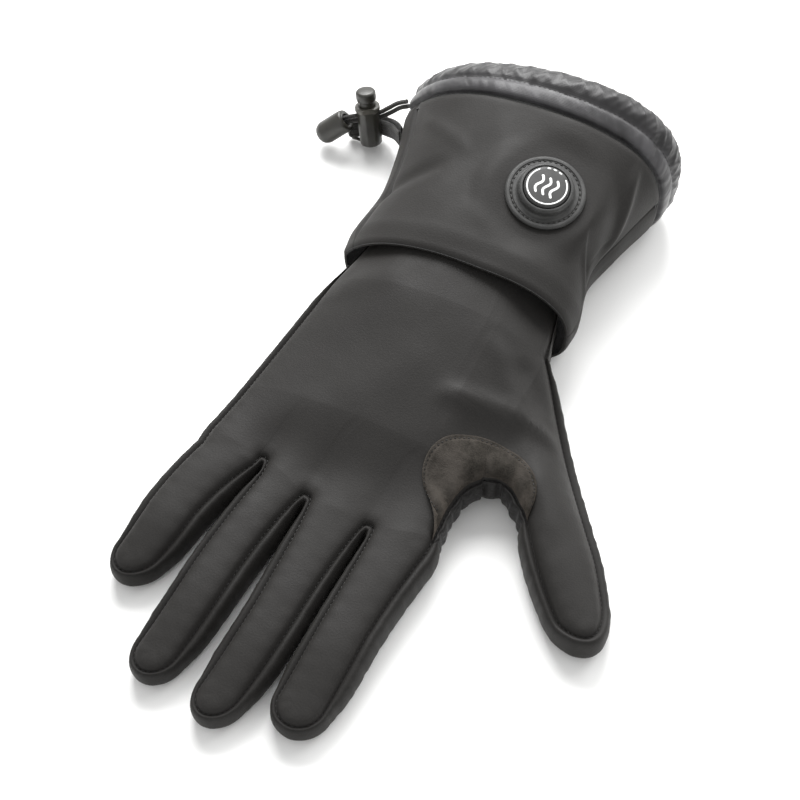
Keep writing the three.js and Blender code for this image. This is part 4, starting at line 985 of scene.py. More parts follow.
def tape_line(sizes):
    """The tape's middle line: from the cuff past the lock, round its bar and back to the cuff."""
    lock = lock_frame()
    anchor = cuff_point(np.array(np.pi), np.array(0.93))
    wrap = BAR_RADIUS + SEAM_GAP + sizes.tape_thickness * METRE / 2
    turns = np.radians((90, 50, 10, -30, -70, -90))
    round_bar = [(BAR_OUT + wrap * np.cos(t), BAR_BEHIND + wrap * np.sin(t), TAPE_HEIGHT) for t in turns]
    inner = [(-9.7, 4.6, TAPE_HEIGHT + 2.2), (-7.4, -1.2, TAPE_HEIGHT + 0.6), (-3.8, -5.3, TAPE_HEIGHT)]
    inner += [(BAR_OUT - 3, BAR_BEHIND + wrap, TAPE_HEIGHT)]
    outer = [(BAR_OUT - 4, BAR_BEHIND - wrap, TAPE_HEIGHT), (-5.4, -7.9, TAPE_HEIGHT)]
    outer += [(-10, -2.6, TAPE_HEIGHT + 0.8), (-12.4, 4, TAPE_HEIGHT + 2.4)]
    start = np.array([(anchor[0] - 1.2, anchor[1] - 1.4, 15.5)])
    stop = np.array([(anchor[0] - 1.2, anchor[1] + 1.4, 15.5)])
    return catmull_rom(np.concatenate([start, placed(inner + round_bar + outer, lock), stop]), 150)


# Materials.


def linear(code):
    """An sRGB hex colour as linear red, green, blue and alpha."""
    parts = np.array([int(code[k : k + 2], 16) for k in (1, 3, 5)]) / 255
    return (*np.where(parts <= 0.04045, parts / 12.92, ((parts + 0.055) / 1.055) ** 2.4).tolist(), 1.0)


def add_node(material, kind, inputs=None, **settings):
    """Adds one node with its settings, and sets each named or numbered input or links it to an
    output."""
    tree = material.node_tree
    node = tree.nodes.new(kind)
    for key, value in settings.items():
        setattr(node, key, value)
    for key, value in (inputs or {}).items():
        if isinstance(value, bpy.types.NodeSocket):
            tree.links.new(value, node.inputs[key])
        else:
            node.inputs[key].default_value = value
    return node


SOCKETS = {
    "specular": "Specular IOR Level",
    "sheen": "Sheen Weight",
    "sheen_roughness": "Sheen Roughness",
}


def surface(name, **sockets):
    """A new material with its shader's own sockets set. Gives the material and the shader node."""
    material = bpy.data.materials.new(name)
    material.use_nodes = True
    shader = material.node_tree.nodes["Principled BSDF"]
    for key, value in sockets.items():
        shader.inputs[SOCKETS[key]].default_value = value
    return material, shader


def place_of(material, uv=False):
    return add_node(material, "ShaderNodeTexCoord").outputs["UV" if uv else "Object"]


def noise(material, place, size, detail=2.0, rough=0.5):
    """The output of a noise whose lumps are size metres across."""
    inputs = {"Vector": place, "Scale": 1 / size, "Detail": detail, "Roughness": rough}
    return add_node(material, "ShaderNodeTexNoise", inputs).outputs["Fac"]


def blend_colours(material, share, first, second):
    inputs = {0: share, 6: first, 7: second}
    return add_node(material, "ShaderNodeMix", inputs, data_type="RGBA").outputs[2]


def between(material, value, low, high, to_low, to_high):
    inputs = {"Value": value, "From Min": low, "From Max": high, "To Min": to_low, "To Max": to_high}
    return add_node(material, "ShaderNodeMapRange", inputs).outputs["Result"]


def sum_of(material, operation, *values):
    """The output of a sum worked out by the material, such as ADD, MULTIPLY or SINE."""
    return add_node(material, "ShaderNodeMath", dict(enumerate(values)), operation=operation).outputs[0]


def bumped(material, shader, *layers):
    """Bump layers, each (height, depth in metres), one after the other into the shader's normal."""
    normal = None
    for height, depth in layers:
        inputs = {"Height": height, "Distance": depth, "Strength": 1.0}
        if normal is not None:
            inputs["Normal"] = normal
        normal = add_node(material, "ShaderNodeBump", inputs).outputs["Normal"]
    material.node_tree.links.new(normal, shader.inputs["Normal"])


def paint(material, shader, colour, roughness):
    material.node_tree.links.new(colour, shader.inputs["Base Color"])
    if isinstance(roughness, bpy.types.NodeSocket):
        material.node_tree.links.new(roughness, shader.inputs["Roughness"])
    else:
        shader.inputs["Roughness"].default_value = roughness


def softshell(name="softshell_knit", side=False):
    # Softshell: a close polyester knit glued to a soft membrane. It looks matte and dark, with a low
    # broad sheen and a fine knit that only shows close by; here the knit is 0.7 mm, three times the
    # real one. The side strips are the same cloth; their darker colour is painted shade.
    colours = bpy.context.scene.glove_colours
    material, shader = surface(name, sheen=0.04, sheen_roughness=0.5, specular=0.16)
    shader.inputs["Sheen Tint"].default_value = linear("#b9b4ae")
    place = place_of(material)
    main, light = colours.softshell, colours.softshell_light
    # Painted shade: the side strips get a darker main colour for the shade that falls on their sides.
    if side:
        main, light = colours.softshell_painted_shade, colours.softshell
    cloud = between(material, noise(material, place, 0.045, 3.0), 0.3, 0.7, 0.0, 1.0)
    colour = blend_colours(material, cloud, main[:], light[:])
    knit = noise(material, place, 0.0007, 1.0)
    fleck = between(material, knit, 0.3, 0.7, 0.0, 0.25)
    colour = blend_colours(material, fleck, colour, colours.softshell_fleck[:])
    paint(material, shader, colour, between(material, noise(material, place, 0.02), 0.3, 0.7, 0.52, 0.64))
    bumped(material, shader, (noise(material, place, 0.014, 2.0), 0.0002), (knit, 0.00007))
    return material


def suede():
    # Synthetic suede: ground microfibre with a short nap. It has no gloss, catches light at grazing
    # angles, and is blotchy where the nap was stroked; nap tufts about 0.5 mm.
    colours = bpy.context.scene.glove_colours
    material, shader = surface("ground_suede", sheen=0.2, sheen_roughness=0.6, specular=0.1)
    shader.inputs["Sheen Tint"].default_value = linear("#a8988a")
    place = place_of(material)
    stroked = between(material, noise(material, place, 0.009, 4.0, 0.6), 0.4, 0.6, 0.0, 1.0)
    nap = noise(material, place, 0.0005, 2.0, 0.7)
    colour = blend_colours(material, stroked, colours.suede[:], colours.suede_light[:])
    tufts = between(material, nap, 0.35, 0.75, 0.0, 0.5)
    colour = blend_colours(material, tufts, colour, colours.suede_nap[:])
    paint(material, shader, colour, 0.95)
    bumped(material, shader, (noise(material, place, 0.004, 3.0), 0.0005), (nap, 0.00018))
    return material


def leather():
    # Split leather, embossed: a pebble grain of about 1 mm with smooth tops and matte valleys.
    colours = bpy.context.scene.glove_colours
    material, shader = surface("embossed_leather", specular=0.25, sheen=0.05)
    place = place_of(material)
    grain = add_node(
        material, "ShaderNodeTexVoronoi", {"Vector": place, "Scale": 1 / 0.0011}, feature="SMOOTH_F1"
    ).outputs["Distance"]
    worn = noise(material, place, 0.012, 3.0)
    colour = blend_colours(material, worn, colours.leather[:], colours.leather_light[:])
    paint(material, shader, colour, between(material, grain, 0.1, 0.8, 0.46, 0.68))
    bumped(material, shader, (worn, 0.0004), (grain, -0.00012))
    return material


def nylon():
    # Nylon taffeta: a thin plain weave, calendered, so it has a slight gloss that breaks up on small
    # creases; the threads are drawn 0.6 mm apart, about four times the real spacing. The band beside
    # the seam is pulled flat. The colour holds painted shade and highlight: lighter on the creases and
    # on the band, darker in the gathered channel, where the gathers' shade falls.
    colours = bpy.context.scene.glove_colours
    material, shader = surface("nylon_taffeta", specular=0.42, sheen=0.04)
    place = place_of(material, uv=True)
    split = add_node(material, "ShaderNodeSeparateXYZ", {"Vector": place})
    weave = [
        add_node(
            material, "ShaderNodeTexWave", {"Vector": place, "Scale": 1 / 0.0006 / 3.2}, bands_direction=way
        ).outputs["Fac"]
        for way in ("X", "Y")
    ]
    cloth = sum_of(material, "ADD", *weave)
    turned_place = add_node(material, "ShaderNodeMapping", {"Vector": place, "Rotation": (0.0, 0.0, 0.5)})
    inputs = {"Vector": turned_place.outputs[0], "Scale": (1.0, 0.35, 1.0)}
    stretched = add_node(material, "ShaderNodeMapping", inputs)
    creases = noise(material, stretched.outputs["Vector"], 0.011, 2.5, 0.5)
    # Painted shade and highlight: the colour is lighter on the creases of the same noise that bumps them.
    tone = between(material, creases, 0.35, 0.65, 0.0, 1.0)
    # Painted shade: this mask makes the band before the row of stitches lighter than the gathered channel
    # behind it.
    flat = between(material, split.outputs["Y"], 0.0070, 0.0095, 1.0, 0.0)
    dark = blend_colours(material, tone, colours.nylon[:], colours.nylon_painted_midtone[:])
    light = blend_colours(material, tone, colours.nylon_painted_midtone[:], colours.nylon_painted_band_light[:])
    colour = blend_colours(material, flat, dark, light)
    paint(material, shader, colour, between(material, creases, 0.3, 0.7, 0.36, 0.52))
    bumped(material, shader, (creases, 0.003), (cloth, 0.000015))
    return material


def lining():
    # Brushed tricot lining: short dense fluff, fully matte.
    colours = bpy.context.scene.glove_colours
    material, shader = surface("brushed_lining", sheen=0.15, sheen_roughness=0.7, specular=0.1)
    fluff = noise(material, place_of(material), 0.0012, 4.0, 0.7)
    paint(material, shader, blend_colours(material, fluff, colours.lining[:], colours.lining_light[:]), 1.0)
    bumped(material, shader, (fluff, 0.0005))
    return material


def moulded(name, first, second, roughness, texture_size, texture_depth):
    """A moulded plastic or rubber: a fine spark-eroded texture, a slow change of tone and of gloss."""
    material, shader = surface(name, specular=0.5)
    place = place_of(material)
    cloud = noise(material, place, 0.006, 3.0)
    grain = noise(material, place, texture_size, 2.0, 0.6)
    colour = blend_colours(material, between(material, cloud, 0.35, 0.65, 0.0, 1.0), first, second)
    paint(material, shader, colour, between(material, cloud, 0.3, 0.7, roughness - 0.05, roughness + 0.07))
    bumped(material, shader, (grain, texture_depth))
    return material


def braid(name, first, second, pitch):
    """A braided or ribbed textile: bands across the piece at the pitch in metres, woven over a slower
    band."""
    material, shader = surface(name, sheen=0.3, sheen_roughness=0.5, specular=0.3)
    place = place_of(material, uv=True)
    split = add_node(material, "ShaderNodeSeparateXYZ", {"Vector": place})
    along = sum_of(material, "MULTIPLY", split.outputs["X"], 2 * np.pi / pitch)
    turns = sum_of(material, "MULTIPLY", split.outputs["Y"], 2 * np.pi * 3)
    crossed = []
    for operation in ("ADD", "SUBTRACT"):
        crossed.append(sum_of(material, "SINE", sum_of(material, operation, along, turns)))
    both = sum_of(material, "MULTIPLY", *crossed)
    colour = blend_colours(material, between(material, both, -1.0, 1.0, 0.0, 1.0), first, second)
    paint(material, shader, colour, 0.8)
    bumped(material, shader, (both, 0.0001))
    return material


def ink():
    # Pad-printed ink: thin, even, slightly chalky white.
    colours = bpy.context.scene.glove_colours
    material, shader = surface("pad_print", specular=0.4)
    speck = noise(material, place_of(material), 0.0004, 2.0)
    paint(material, shader, blend_colours(material, speck, colours.ink[:], linear("#d5d6d4")), 0.6)
    bumped(material, shader, (speck, 0.00002))
    return material


def thread(name, first, second):
    # Bonded polyester thread: twisted, slightly glossy.
    material, shader = surface(name, specular=0.45)
    twist = noise(material, place_of(material), 0.0005, 1.0)
    paint(material, shader, blend_colours(material, twist, first, second), 0.55)
    bumped(material, shader, (twist, 0.00005))
    return material


FINISHES = {}


def finish(name):
    """The material of a finish, made the first time that a piece asks for it."""
    colours = bpy.context.scene.glove_colours
    grain = 0.0005
    fine_grain = 0.0004
    makers = {
        "softshell": softshell,
        # The side strips' softshell, made darker as painted shade.
        "softshell_painted_shade": lambda: softshell("softshell_painted_shade", side=True),
        "suede": suede,
        "leather": leather,
        "nylon": nylon,
        "lining": lining,
        # Glass-filled nylon, injection moulded: satin, greyish olive, finely pebbled.
        "plastic": lambda: moulded(
            "moulded_nylon", colours.plastic[:], colours.plastic_dark[:], 0.36, grain, 0.00003
        ),
        # The same plastic, lighter, on the top 2.2 mm of the lock's barrel.
        "rim": lambda: moulded("lighter_rim_nylon", colours.rim[:], colours.plastic[:], 0.34, grain, 0.00002),
        # Silicone rubber, compression moulded: even, soft grey, dry to the eye.
        "rubber": lambda: moulded(
            "silicone_rubber", colours.rubber[:], colours.rubber_dark[:], 0.55, fine_grain, 0.00004
        ),
        "cap": lambda: moulded(
            "silicone_cap", colours.cap[:], colours.rubber_dark[:], 0.5, fine_grain, 0.00003
        ),
        "elastic": lambda: braid("braided_elastic", colours.cord[:], colours.cord_light[:], 0.0018),
        "webbing": lambda: braid("ribbed_tape", colours.cord[:], colours.cord_light[:], 0.0012),
        "ink": ink,
        # Near-black: the seams' thread, and partly painted shade that draws the seams' grooves as dark lines.
        "seam": lambda: thread("seam_thread_and_painted_shade", linear("#080808"), linear("#100f0f")),
        "thread": lambda: thread("dark_thread", linear("#191817"), linear("#2a2826")),
    }
    if name not in FINISHES:
        FINISHES[name] = makers[name]()
    return FINISHES[name]


# Pieces: what makes a mesh object, and the sizes and colours that can be changed.


def add_piece(
    name, points, triangles, finishes, body="glove", replaces=(), uv=None, faces=None, sharp=50
):
    """A mesh object at the origin from points in millimetres and triangles. Twin points are joined, and
    triangles without area are left out. finishes are its materials, and faces picks one for each
    triangle."""
    joined = twins(points)[triangles]
    a, b, c = joined.T
    kept = (a != b) & (b != c) & (a != c)
    used, numbers = np.unique(joined[kept], return_inverse=True)
    mesh = bpy.data.meshes.new(name)
    mesh.from_pydata((points[used] / METRE).tolist(), [], numbers.reshape(-1, 3).tolist())
    if uv is not None:
        layer = mesh.uv_layers.new(name="sewn")
        layer.data.foreach_set("uv", uv[triangles[kept]].reshape(-1).astype(np.float32))
    for kind in finishes:
        mesh.materials.append(finish(kind))
    if faces is not None:
        mesh.polygons.foreach_set("material_index", faces[kept].astype(np.int32))
    mesh.shade_smooth()
    mesh.set_sharp_from_angle(angle=np.radians(sharp))
    mesh.validate()
    piece = bpy.data.objects.new(name, mesh)
    bpy.context.scene.collection.objects.link(piece)
    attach(piece, body)
    if replaces:
        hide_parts(*replaces)
    return piece


def add_turned(name, profile, sides, own_frame, kind, body, node):
    """A piece turned from its profile of (radius, height), standing in a frame of its own."""
    points, quads = turned(profile, sides)
    return add_piece(name, placed(points, own_frame), halves(quads), (kind,), body, (node,), sharp=60)


def add_wall(name, sheets, finish_name, replaces, uv=None):
    points, triangles, inside = wall(*sheets)
    if uv is not None:
        uv = np.concatenate([uv, uv])
    lined = (finish_name, "lining")
    return add_piece(name, points, triangles, lined, "glove", replaces, uv, inside)


# The back's surface once it is made, which the strips, the seam's thread and the crescent follow.
BACK = TOP


def size_property(name, description, metres):
    return bpy.props.FloatProperty(name=name, description=description, default=metres, unit="LENGTH")


class GloveSizes(bpy.types.PropertyGroup):
    """Sizes that change how the glove is padded, sewn and fitted out."""

    padding_round: size_property("Padding round", "How far from a seam the padding is rounded", 0.0042)
    padding_drop: size_property("Padding drop", "How far the padding falls towards a seam", 0.0016)
    seam_groove: size_property("Seam groove", "Depth that the thread pulls a seam in", 0.0008)
    gather_depth: size_property("Gather depth", "Height of the drawcord tunnel's gathers", 0.0005)
    stitch_pitch: size_property("Stitch pitch", "Distance from stitch to stitch", 0.0022)
    flange_diameter: size_property("Flange diameter", "Diameter of the button's sewn flange", 0.0325)
    housing_diameter: size_property("Housing diameter", "Outer diameter of the button's housing", 0.0224)
    cord_diameter: size_property("Cord diameter", "Diameter of each strand of the drawcord", 0.002)
    tape_width: size_property("Tape width", "Width of the tape that holds the cord lock", 0.008)
    tape_thickness: size_property("Tape thickness", "Thickness of that tape", 0.0011)
    lock_diameter: size_property("Lock diameter", "Diameter of the cord lock's barrel", 0.010)
    lock_height: size_property("Lock height", "Height of the cord lock's barrel", 0.0205)
    plunger_diameter: size_property("Plunger diameter", "Diameter of the cord lock's plunger", 0.0068)
    bell_diameter: size_property("Bell diameter", "Diameter of the bell on the cord's ends", 0.0102)


def colour_property(name, description, code):
    return bpy.props.FloatVectorProperty(
        name=name, description=description, size=4, subtype="COLOR", min=0, max=1, default=linear(code)
    )


class GloveColours(bpy.types.PropertyGroup):
    """Colours of the glove's cloth, leather, plastic and rubber."""

    softshell: colour_property("Softshell", "Main colour of the back and the cuff", "#222120")
    softshell_light: colour_property("Softshell light", "Its lighter clouds", "#242322")
    # Painted shade: a darker softshell for the side strips, which are the same cloth as the back.
    softshell_painted_shade: colour_property("Softshell side", "The side strips", "#161514")
    softshell_fleck: colour_property("Softshell fleck", "The knit's lighter thread", "#302e2c")
    suede: colour_property("Suede", "Main colour of the suede", "#1c1b19")
    suede_light: colour_property("Suede light", "Where its nap is stroked", "#383532")
    suede_nap: colour_property("Suede nap", "Its tufts", "#423f3a")
    leather: colour_property("Leather", "Main colour of the crotch gusset", "#100f0e")
    leather_light: colour_property("Leather light", "Where it is worn", "#1a1817")
    nylon: colour_property("Nylon", "Main colour of the drawcord tunnel", "#161516")
    # Painted shade and highlight: the tunnel's lighter tones stand for light on its creases and on its flat
    # band.
    nylon_painted_midtone: colour_property("Nylon light", "Its lighter creases", "#212021")
    nylon_painted_band_light: colour_property("Nylon flat", "Its flat band beside the seam", "#3b3a3c")
    lining: colour_property("Lining", "Main colour of the lining", "#1a1a1a")
    lining_light: colour_property("Lining light", "Its fluff", "#262626")
    plastic: colour_property("Plastic", "Main colour of the cord lock and the bell", "#2b2a25")
    plastic_dark: colour_property("Plastic dark", "Its darker clouds", "#22211d")
    rim: colour_property("Lighter rim plastic", "The cord lock's rim", "#4d4b45")
    rubber: colour_property("Rubber", "The button's flange and housing", "#323231")
    rubber_dark: colour_property("Rubber dark", "Its darker clouds", "#272726")
    cap: colour_property("Cap", "The button's cap", "#2a2a29")
    cord: colour_property("Cord", "The drawcord and the tape", "#191816")
    cord_light: colour_property("Cord light", "Their raised yarns", "#2c2a27")
    ink: colour_property("Ink", "The printed mark", "#e9eae8")


class GLOVE_OT_stage(bpy.types.Operator):
    """Adds the camera, the pale table and the soft studio light"""

    bl_idname = "glove.stage"
    bl_label = "Camera, table and light"

    def execute(self, context):
        scene = context.scene
        # The camera: what it looks at, from how far, and its turn to the right and its height in
        # degrees.
        target, distance = np.array((-5.6, 8.96, 0.0)) / METRE, 0.672
        turn, height = np.radians(25.5), np.radians(57.0)
        back = np.array((np.sin(turn) * np.cos(height), -np.cos(turn) * np.cos(height), np.sin(height)))
        lens = bpy.data.cameras.new("camera")
        lens.lens, lens.sensor_width, lens.clip_start = 75.6, 36, 0.01
        camera = bpy.data.objects.new("camera", lens)
        camera.location = target + back * distance
        camera.rotation_euler = (np.pi / 2 - height, 0, turn)
        scene.collection.objects.link(camera)
        scene.camera = camera
        scene.view_settings.view_transform = "Standard"

        mesh = bpy.data.meshes.new("table")
        far = 3.0
        mesh.from_pydata([(-far, -far, 0), (far, -far, 0), (far, far, 0), (-far, far, 0)], [], [(0, 1, 2, 3)])
        material, shader = surface("pale_table", specular=0.2)
        cloud = noise(material, place_of(material), 0.3, 2.0)
        paint(material, shader, blend_colours(material, cloud, linear("#f4f4f3"), linear("#f7f7f6")), 0.9)
        mesh.materials.append(material)
        floor = bpy.data.objects.new("table", mesh)
        floor.location.z = -0.0002
        scene.collection.objects.link(floor)

        world = bpy.data.worlds.new("studio")
        world.use_nodes = True
        world.node_tree.nodes["Background"].inputs["Color"].default_value = (1.0, 1.0, 1.0, 1.0)
        world.node_tree.nodes["Background"].inputs["Strength"].default_value = 0.8
        scene.world = world
        # Each softbox: name, place, power and size in metres. All face the middle of the glove.
        for name, place, power, size in (
            ("key_softbox", (-0.4, 0.75, 0.8), 22.0, 0.7),
            ("side_softbox", (0.5, 1.1, 0.9), 10.0, 0.8),
            ("front_softbox", (-0.4, -1.1, 0.9), 1.5, 0.9),
        ):
            light = bpy.data.lights.new(name, "AREA")
            light.shape, light.size, light.energy = "SQUARE", size, power
            lamp = bpy.data.objects.new(name, light)
            lamp.location = place
            towards = unit(np.array((0.0, 0.0, 0.01)) - np.array(place))
            lamp.rotation_euler = (np.arccos(-towards[2]), 0, np.arctan2(towards[1], towards[0]) - np.pi / 2)
            scene.collection.objects.link(lamp)
        return {"FINISHED"}


class GLOVE_OT_drawcord(bpy.types.Operator):
    """Adds the bell and the two strands that run from the tunnel's slit through the lock into it"""

    bl_idname = "glove.drawcord"
    bl_label = "Drawcord and bell"

    def execute(self, context):
        sizes = context.scene.glove_sizes
        radius, length = sizes.bell_diameter / 2 * METRE, BELL_LENGTH
        socket = 2.6
        profile = [(0, BELL_SOCKET), (socket, BELL_SOCKET), (socket, 0.3), (socket + 0.3, 0)]
        profile += [(radius - 0.9, 0), (radius - 0.35, 0.35), (radius - 0.1, 1.2), (radius, 3.2)]
        bend = np.linspace(0, np.pi / 2, 12)
        end = 4.0
        closing = length - end + end * np.sin(bend) ** 1.2
        profile += list(zip(radius * np.cos(bend) ** 0.5, closing, strict=True))
        way = unit(BELL_WAY)
        across = unit(np.cross((0.0, 0.0, 1.0), way))
        mouth = placed([BELL_PLACE], lock_frame())[0]
        own = np.stack([across, np.cross(way, across), way]), mouth
        bell = add_turned("cord_bell", profile, 64, own, "plastic", "glove", "cord_end")
        for name, side in (("upper", 1), ("lower", -1)):
            line = strand_line(side, sizes)
            up = np.broadcast_to(lock_frame()[0][2], line.shape)
            points, triangles, uv = tube(line, circle(sizes.cord_diameter / 2 * METRE, 20), up)
            replaced = ("drawcord_strand_" + name,)
            piece = add_piece(
                "drawcord_" + name, points, triangles, ("elastic",), "glove", replaced, uv
            )
        return {"FINISHED"}


class GLOVE_OT_back(bpy.types.Operator):
    """Adds the padded softshell back of the hand, its fingers and its thumb"""

    bl_idname = "glove.back"
    bl_label = "Back of the hand"

    def execute(self, context):
        global BACK
        BACK = back_sheet()
        inner = BACK - normals(BACK, HAND_QUADS) * BACK_WALL
        piece = add_wall("hand_back", (BACK, HAND_QUADS, inner), "softshell", ("back_panel",))
        return {"FINISHED"}


class GLOVE_OT_palm(bpy.types.Operator):
    """Adds the suede palm that the glove lies on"""

    bl_idname = "glove.palm"
    bl_label = "Palm"

    def execute(self, context):
        points = palm_sheet()
        inner = points + UP * PALM_WALL
        piece = add_wall("hand_palm", (points, HAND_QUADS[:, ::-1], inner), "suede", ("palm_panel",))
        return {"FINISHED"}


class GLOVE_OT_strips(bpy.types.Operator):
    """Adds the strips between palm and back: the outer side, the fourchettes, the index and the thumb
    strip"""

    bl_idname = "glove.strips"
    bl_label = "Side strips"

    def execute(self, context):
        # Each strip: thickness, ripple height and depth of its end seams in millimetres.
        for name, thickness, ripples, cross_seam in (
            ("side_wall_ulnar", SIDE_WALL, 0.1, 0.25),
            ("fourchette_little_ring", FOURCHETTE_WALL, 0.12, 0.25),
            ("fourchette_ring_middle", FOURCHETTE_WALL, 0.12, 0.25),
            ("fourchette_middle_index", FOURCHETTE_WALL, 0.12, 0.25),
            ("index_side_strip", SIDE_WALL, 0.2, 0.25),
            ("thumb_side_strip", SIDE_WALL, 0.2, 0.9),
        ):
            sheets = strip_sheets(name, thickness, ripples, cross_seam)
            # The strips' darker softshell is painted shade.
            add_wall("strip_" + name, sheets, "softshell_painted_shade", (name,))
        seam = evenly(BACK[OUTLINE], 4000)
        # The thread lies 0.06 mm deep: stitches 1.7 mm long, every 2 mm, 0.2 mm in radius.
        up = np.broadcast_to(UP, seam.shape)
        points, triangles = stitches(seam - up * 0.06, up, 2.0, 1.7, 0.2)
        # The thread's near-black colour is partly painted shade: it draws the seam's groove as a dark line.
        add_piece("seam_thread_and_painted_shade", points, triangles, ("seam",), "glove")
        return {"FINISHED"}


class GLOVE_OT_crotch(bpy.types.Operator):
    """Adds the leather gusset and the stitched suede crescent between thumb and index finger"""

    bl_idname = "glove.crotch"
    bl_label = "Thumb crotch"

    def execute(self, context):
        sheets = strip_sheets("crotch_gusset", FOURCHETTE_WALL, 0.9, 1.2, (GUSSET_SEAM,))
        add_wall("gusset", sheets, "leather", ("crotch_gusset",))
        edge = evenly(BACK[STRIPS["crotch_gusset"]], 150)
        angle = np.radians(mix(*PATCH_TURNS, np.linspace(0, 1, len(edge))))
        centre = np.array((PATCH_ACROSS * PALM_WIDTH, -PATCH_ALONG * FINGERTIP_REACH))
        far = centre + np.stack([PATCH_RADIUS * np.cos(angle), PATCH_DEPTH * np.sin(angle)], axis=1)
        share = (spread(30)[None, :, None] + 1) / 2 * 0.955 + 0.04
        level = mix(edge[:, None, :2], far[:, None], share)
        width = np.linalg.norm(far - edge[:, :2], axis=1)[:, None]
        to_far, to_edge = (1 - share[..., 0]) * width, share[..., 0] * width
        z = height_on(BACK, halves(HAND_QUADS), level.reshape(-1, 2)).reshape(level.shape[:2])
        turn = np.linspace(0, 1, len(edge))[:, None]
        # Pleats that run out from the crotch's edge, a low swelling, and the valley that the stitches
        # draw in.
        fan = 1 + np.sin(turn * 2 * np.pi * 6.5 + 0.9 * np.sin(turn * 9))
        pleats = fan * 0.85 * np.exp(-((to_edge / 11) ** 2))
        bulge = 0.7 * smooth(0, 5, to_edge) * smooth(0, 3.5, to_far)
        line = np.exp(-(((to_far - CRESCENT_ROW) / 0.55) ** 2)) * 0.45
        rise = 0.95 + bulge + pleats * smooth(0, 2, to_far) - line
        rise = rise - 0.7 * (1 - np.sqrt(np.clip(1 - (1 - np.clip(to_far / 0.7, 0, 1)) ** 2, 0, 1)))
        rise = rise - 0.35 * np.exp(-((to_edge / 1.0) ** 2))
        outer = np.concatenate([level, (z + rise)[..., None]], axis=-1).reshape(-1, 3)
        inner = np.concatenate([level, (z + 0.02)[..., None]], axis=-1).reshape(-1, 3)
        quads = grid_quads(len(edge), 31)[:, ::-1]
        patch = add_wall("crotch_crescent", (outer, quads, inner), "suede", ("thumb_crotch_patch",))
        diagonals = outer[quads[:, 2]] - outer[quads[:, 0]], outer[quads[:, 3]] - outer[quads[:, 1]]
        area = 0.5 * np.linalg.norm(np.cross(*diagonals), axis=1).sum() / METRE**2
        area = min(float(area), 0.0016)
        where = np.clip(CRESCENT_ROW / np.maximum(width[:, 0], 1e-6), 0, 0.5)
        reach_in = mix(far, edge[:, :2], where[:, None])
        keep = width[:, 0] > 4
        height = height_on(outer, halves(quads), reach_in[keep])
        path = evenly(np.concatenate([reach_in[keep], height[:, None]], axis=1), 400)
        pitch = context.scene.glove_sizes.stitch_pitch * METRE * 0.8
        points, triangles = stitches(path, np.broadcast_to(UP, path.shape), pitch, 1.1, 0.2)
        add_piece("crescent_stitches", points, triangles, ("seam",), "glove")
        return {"FINISHED"}


class GLOVE_OT_cuff(bpy.types.Operator):
    """Adds the flared cuff: its back panel with the rolled hem, and its lower panel"""

    bl_idname = "glove.cuff"
    bl_label = "Cuff"

    def execute(self, context):
        along = (1 - np.cos(np.pi * np.arange(101) / 100)) / 2
        seam = SEAM_GAP / (WAIST_SHARE * CUFF_DEPTH)
        for name, from_turn, to_turn, steps, node in (
            ("cuff_back", RIGHT_SEAM, LEFT_SEAM, 170, "cuff_back_panel"),
            ("cuff_palm", LEFT_SEAM + seam, RIGHT_SEAM + 2 * np.pi - seam, 150, "cuff_palm_panel"),
        ):
            turns = mix(from_turn, to_turn, (spread(steps) + 1) / 2)
            sheets = ring_sheets(cuff_surface, turns, along, CUFF_WALL, cuff_fall(from_turn, to_turn))
            piece = add_wall(name, sheets, "softshell", (node,))
        return {"FINISHED"}


class GLOVE_OT_tunnel(bpy.types.Operator):
    """Adds the gathered nylon tunnel round the cuff's opening, with its row of stitches"""

    bl_idname = "glove.tunnel"
    bl_label = "Drawcord tunnel"

    def execute(self, context):
        turns = np.linspace(SLIT_LOW, SLIT_HIGH + 2 * np.pi, 560)
        v = np.concatenate([[-0.14, -0.07], (1 - np.cos(np.pi * np.arange(41) / 40)) / 2])
        sheets = ring_sheets(tunnel_surface, turns, v, TUNNEL_WALL, tunnel_fall)
        turn, place = np.meshgrid(turns, v, indexing="ij")
        uv = np.stack([turn * 45 / METRE, place * TUNNEL_LENGTH / METRE], axis=-1).reshape(-1, 2)
        piece = add_wall("tunnel", sheets, "nylon", ("drawcord_tunnel",), uv)
        # The row of stitches, with the cloth's direction from small steps on the surface; none near the
        # table.
        here, near = np.full_like(turns, TUNNEL_ROW), 0.01
        line = tunnel_surface(turns, here)
        round_it = tunnel_surface(turns - near, here) - tunnel_surface(turns + near, here)
        along_it = tunnel_surface(turns, here + near) - tunnel_surface(turns, here - near)
        out = unit(np.cross(round_it, along_it))
        top = line[:, 2] > 3
        pitch = context.scene.glove_sizes.stitch_pitch * METRE
        points, triangles = stitches(line[top], out[top], pitch, 1.7, 0.16)
        add_piece("tunnel_stitches", points, triangles, ("thread",), "glove")
        return {"FINISHED"}


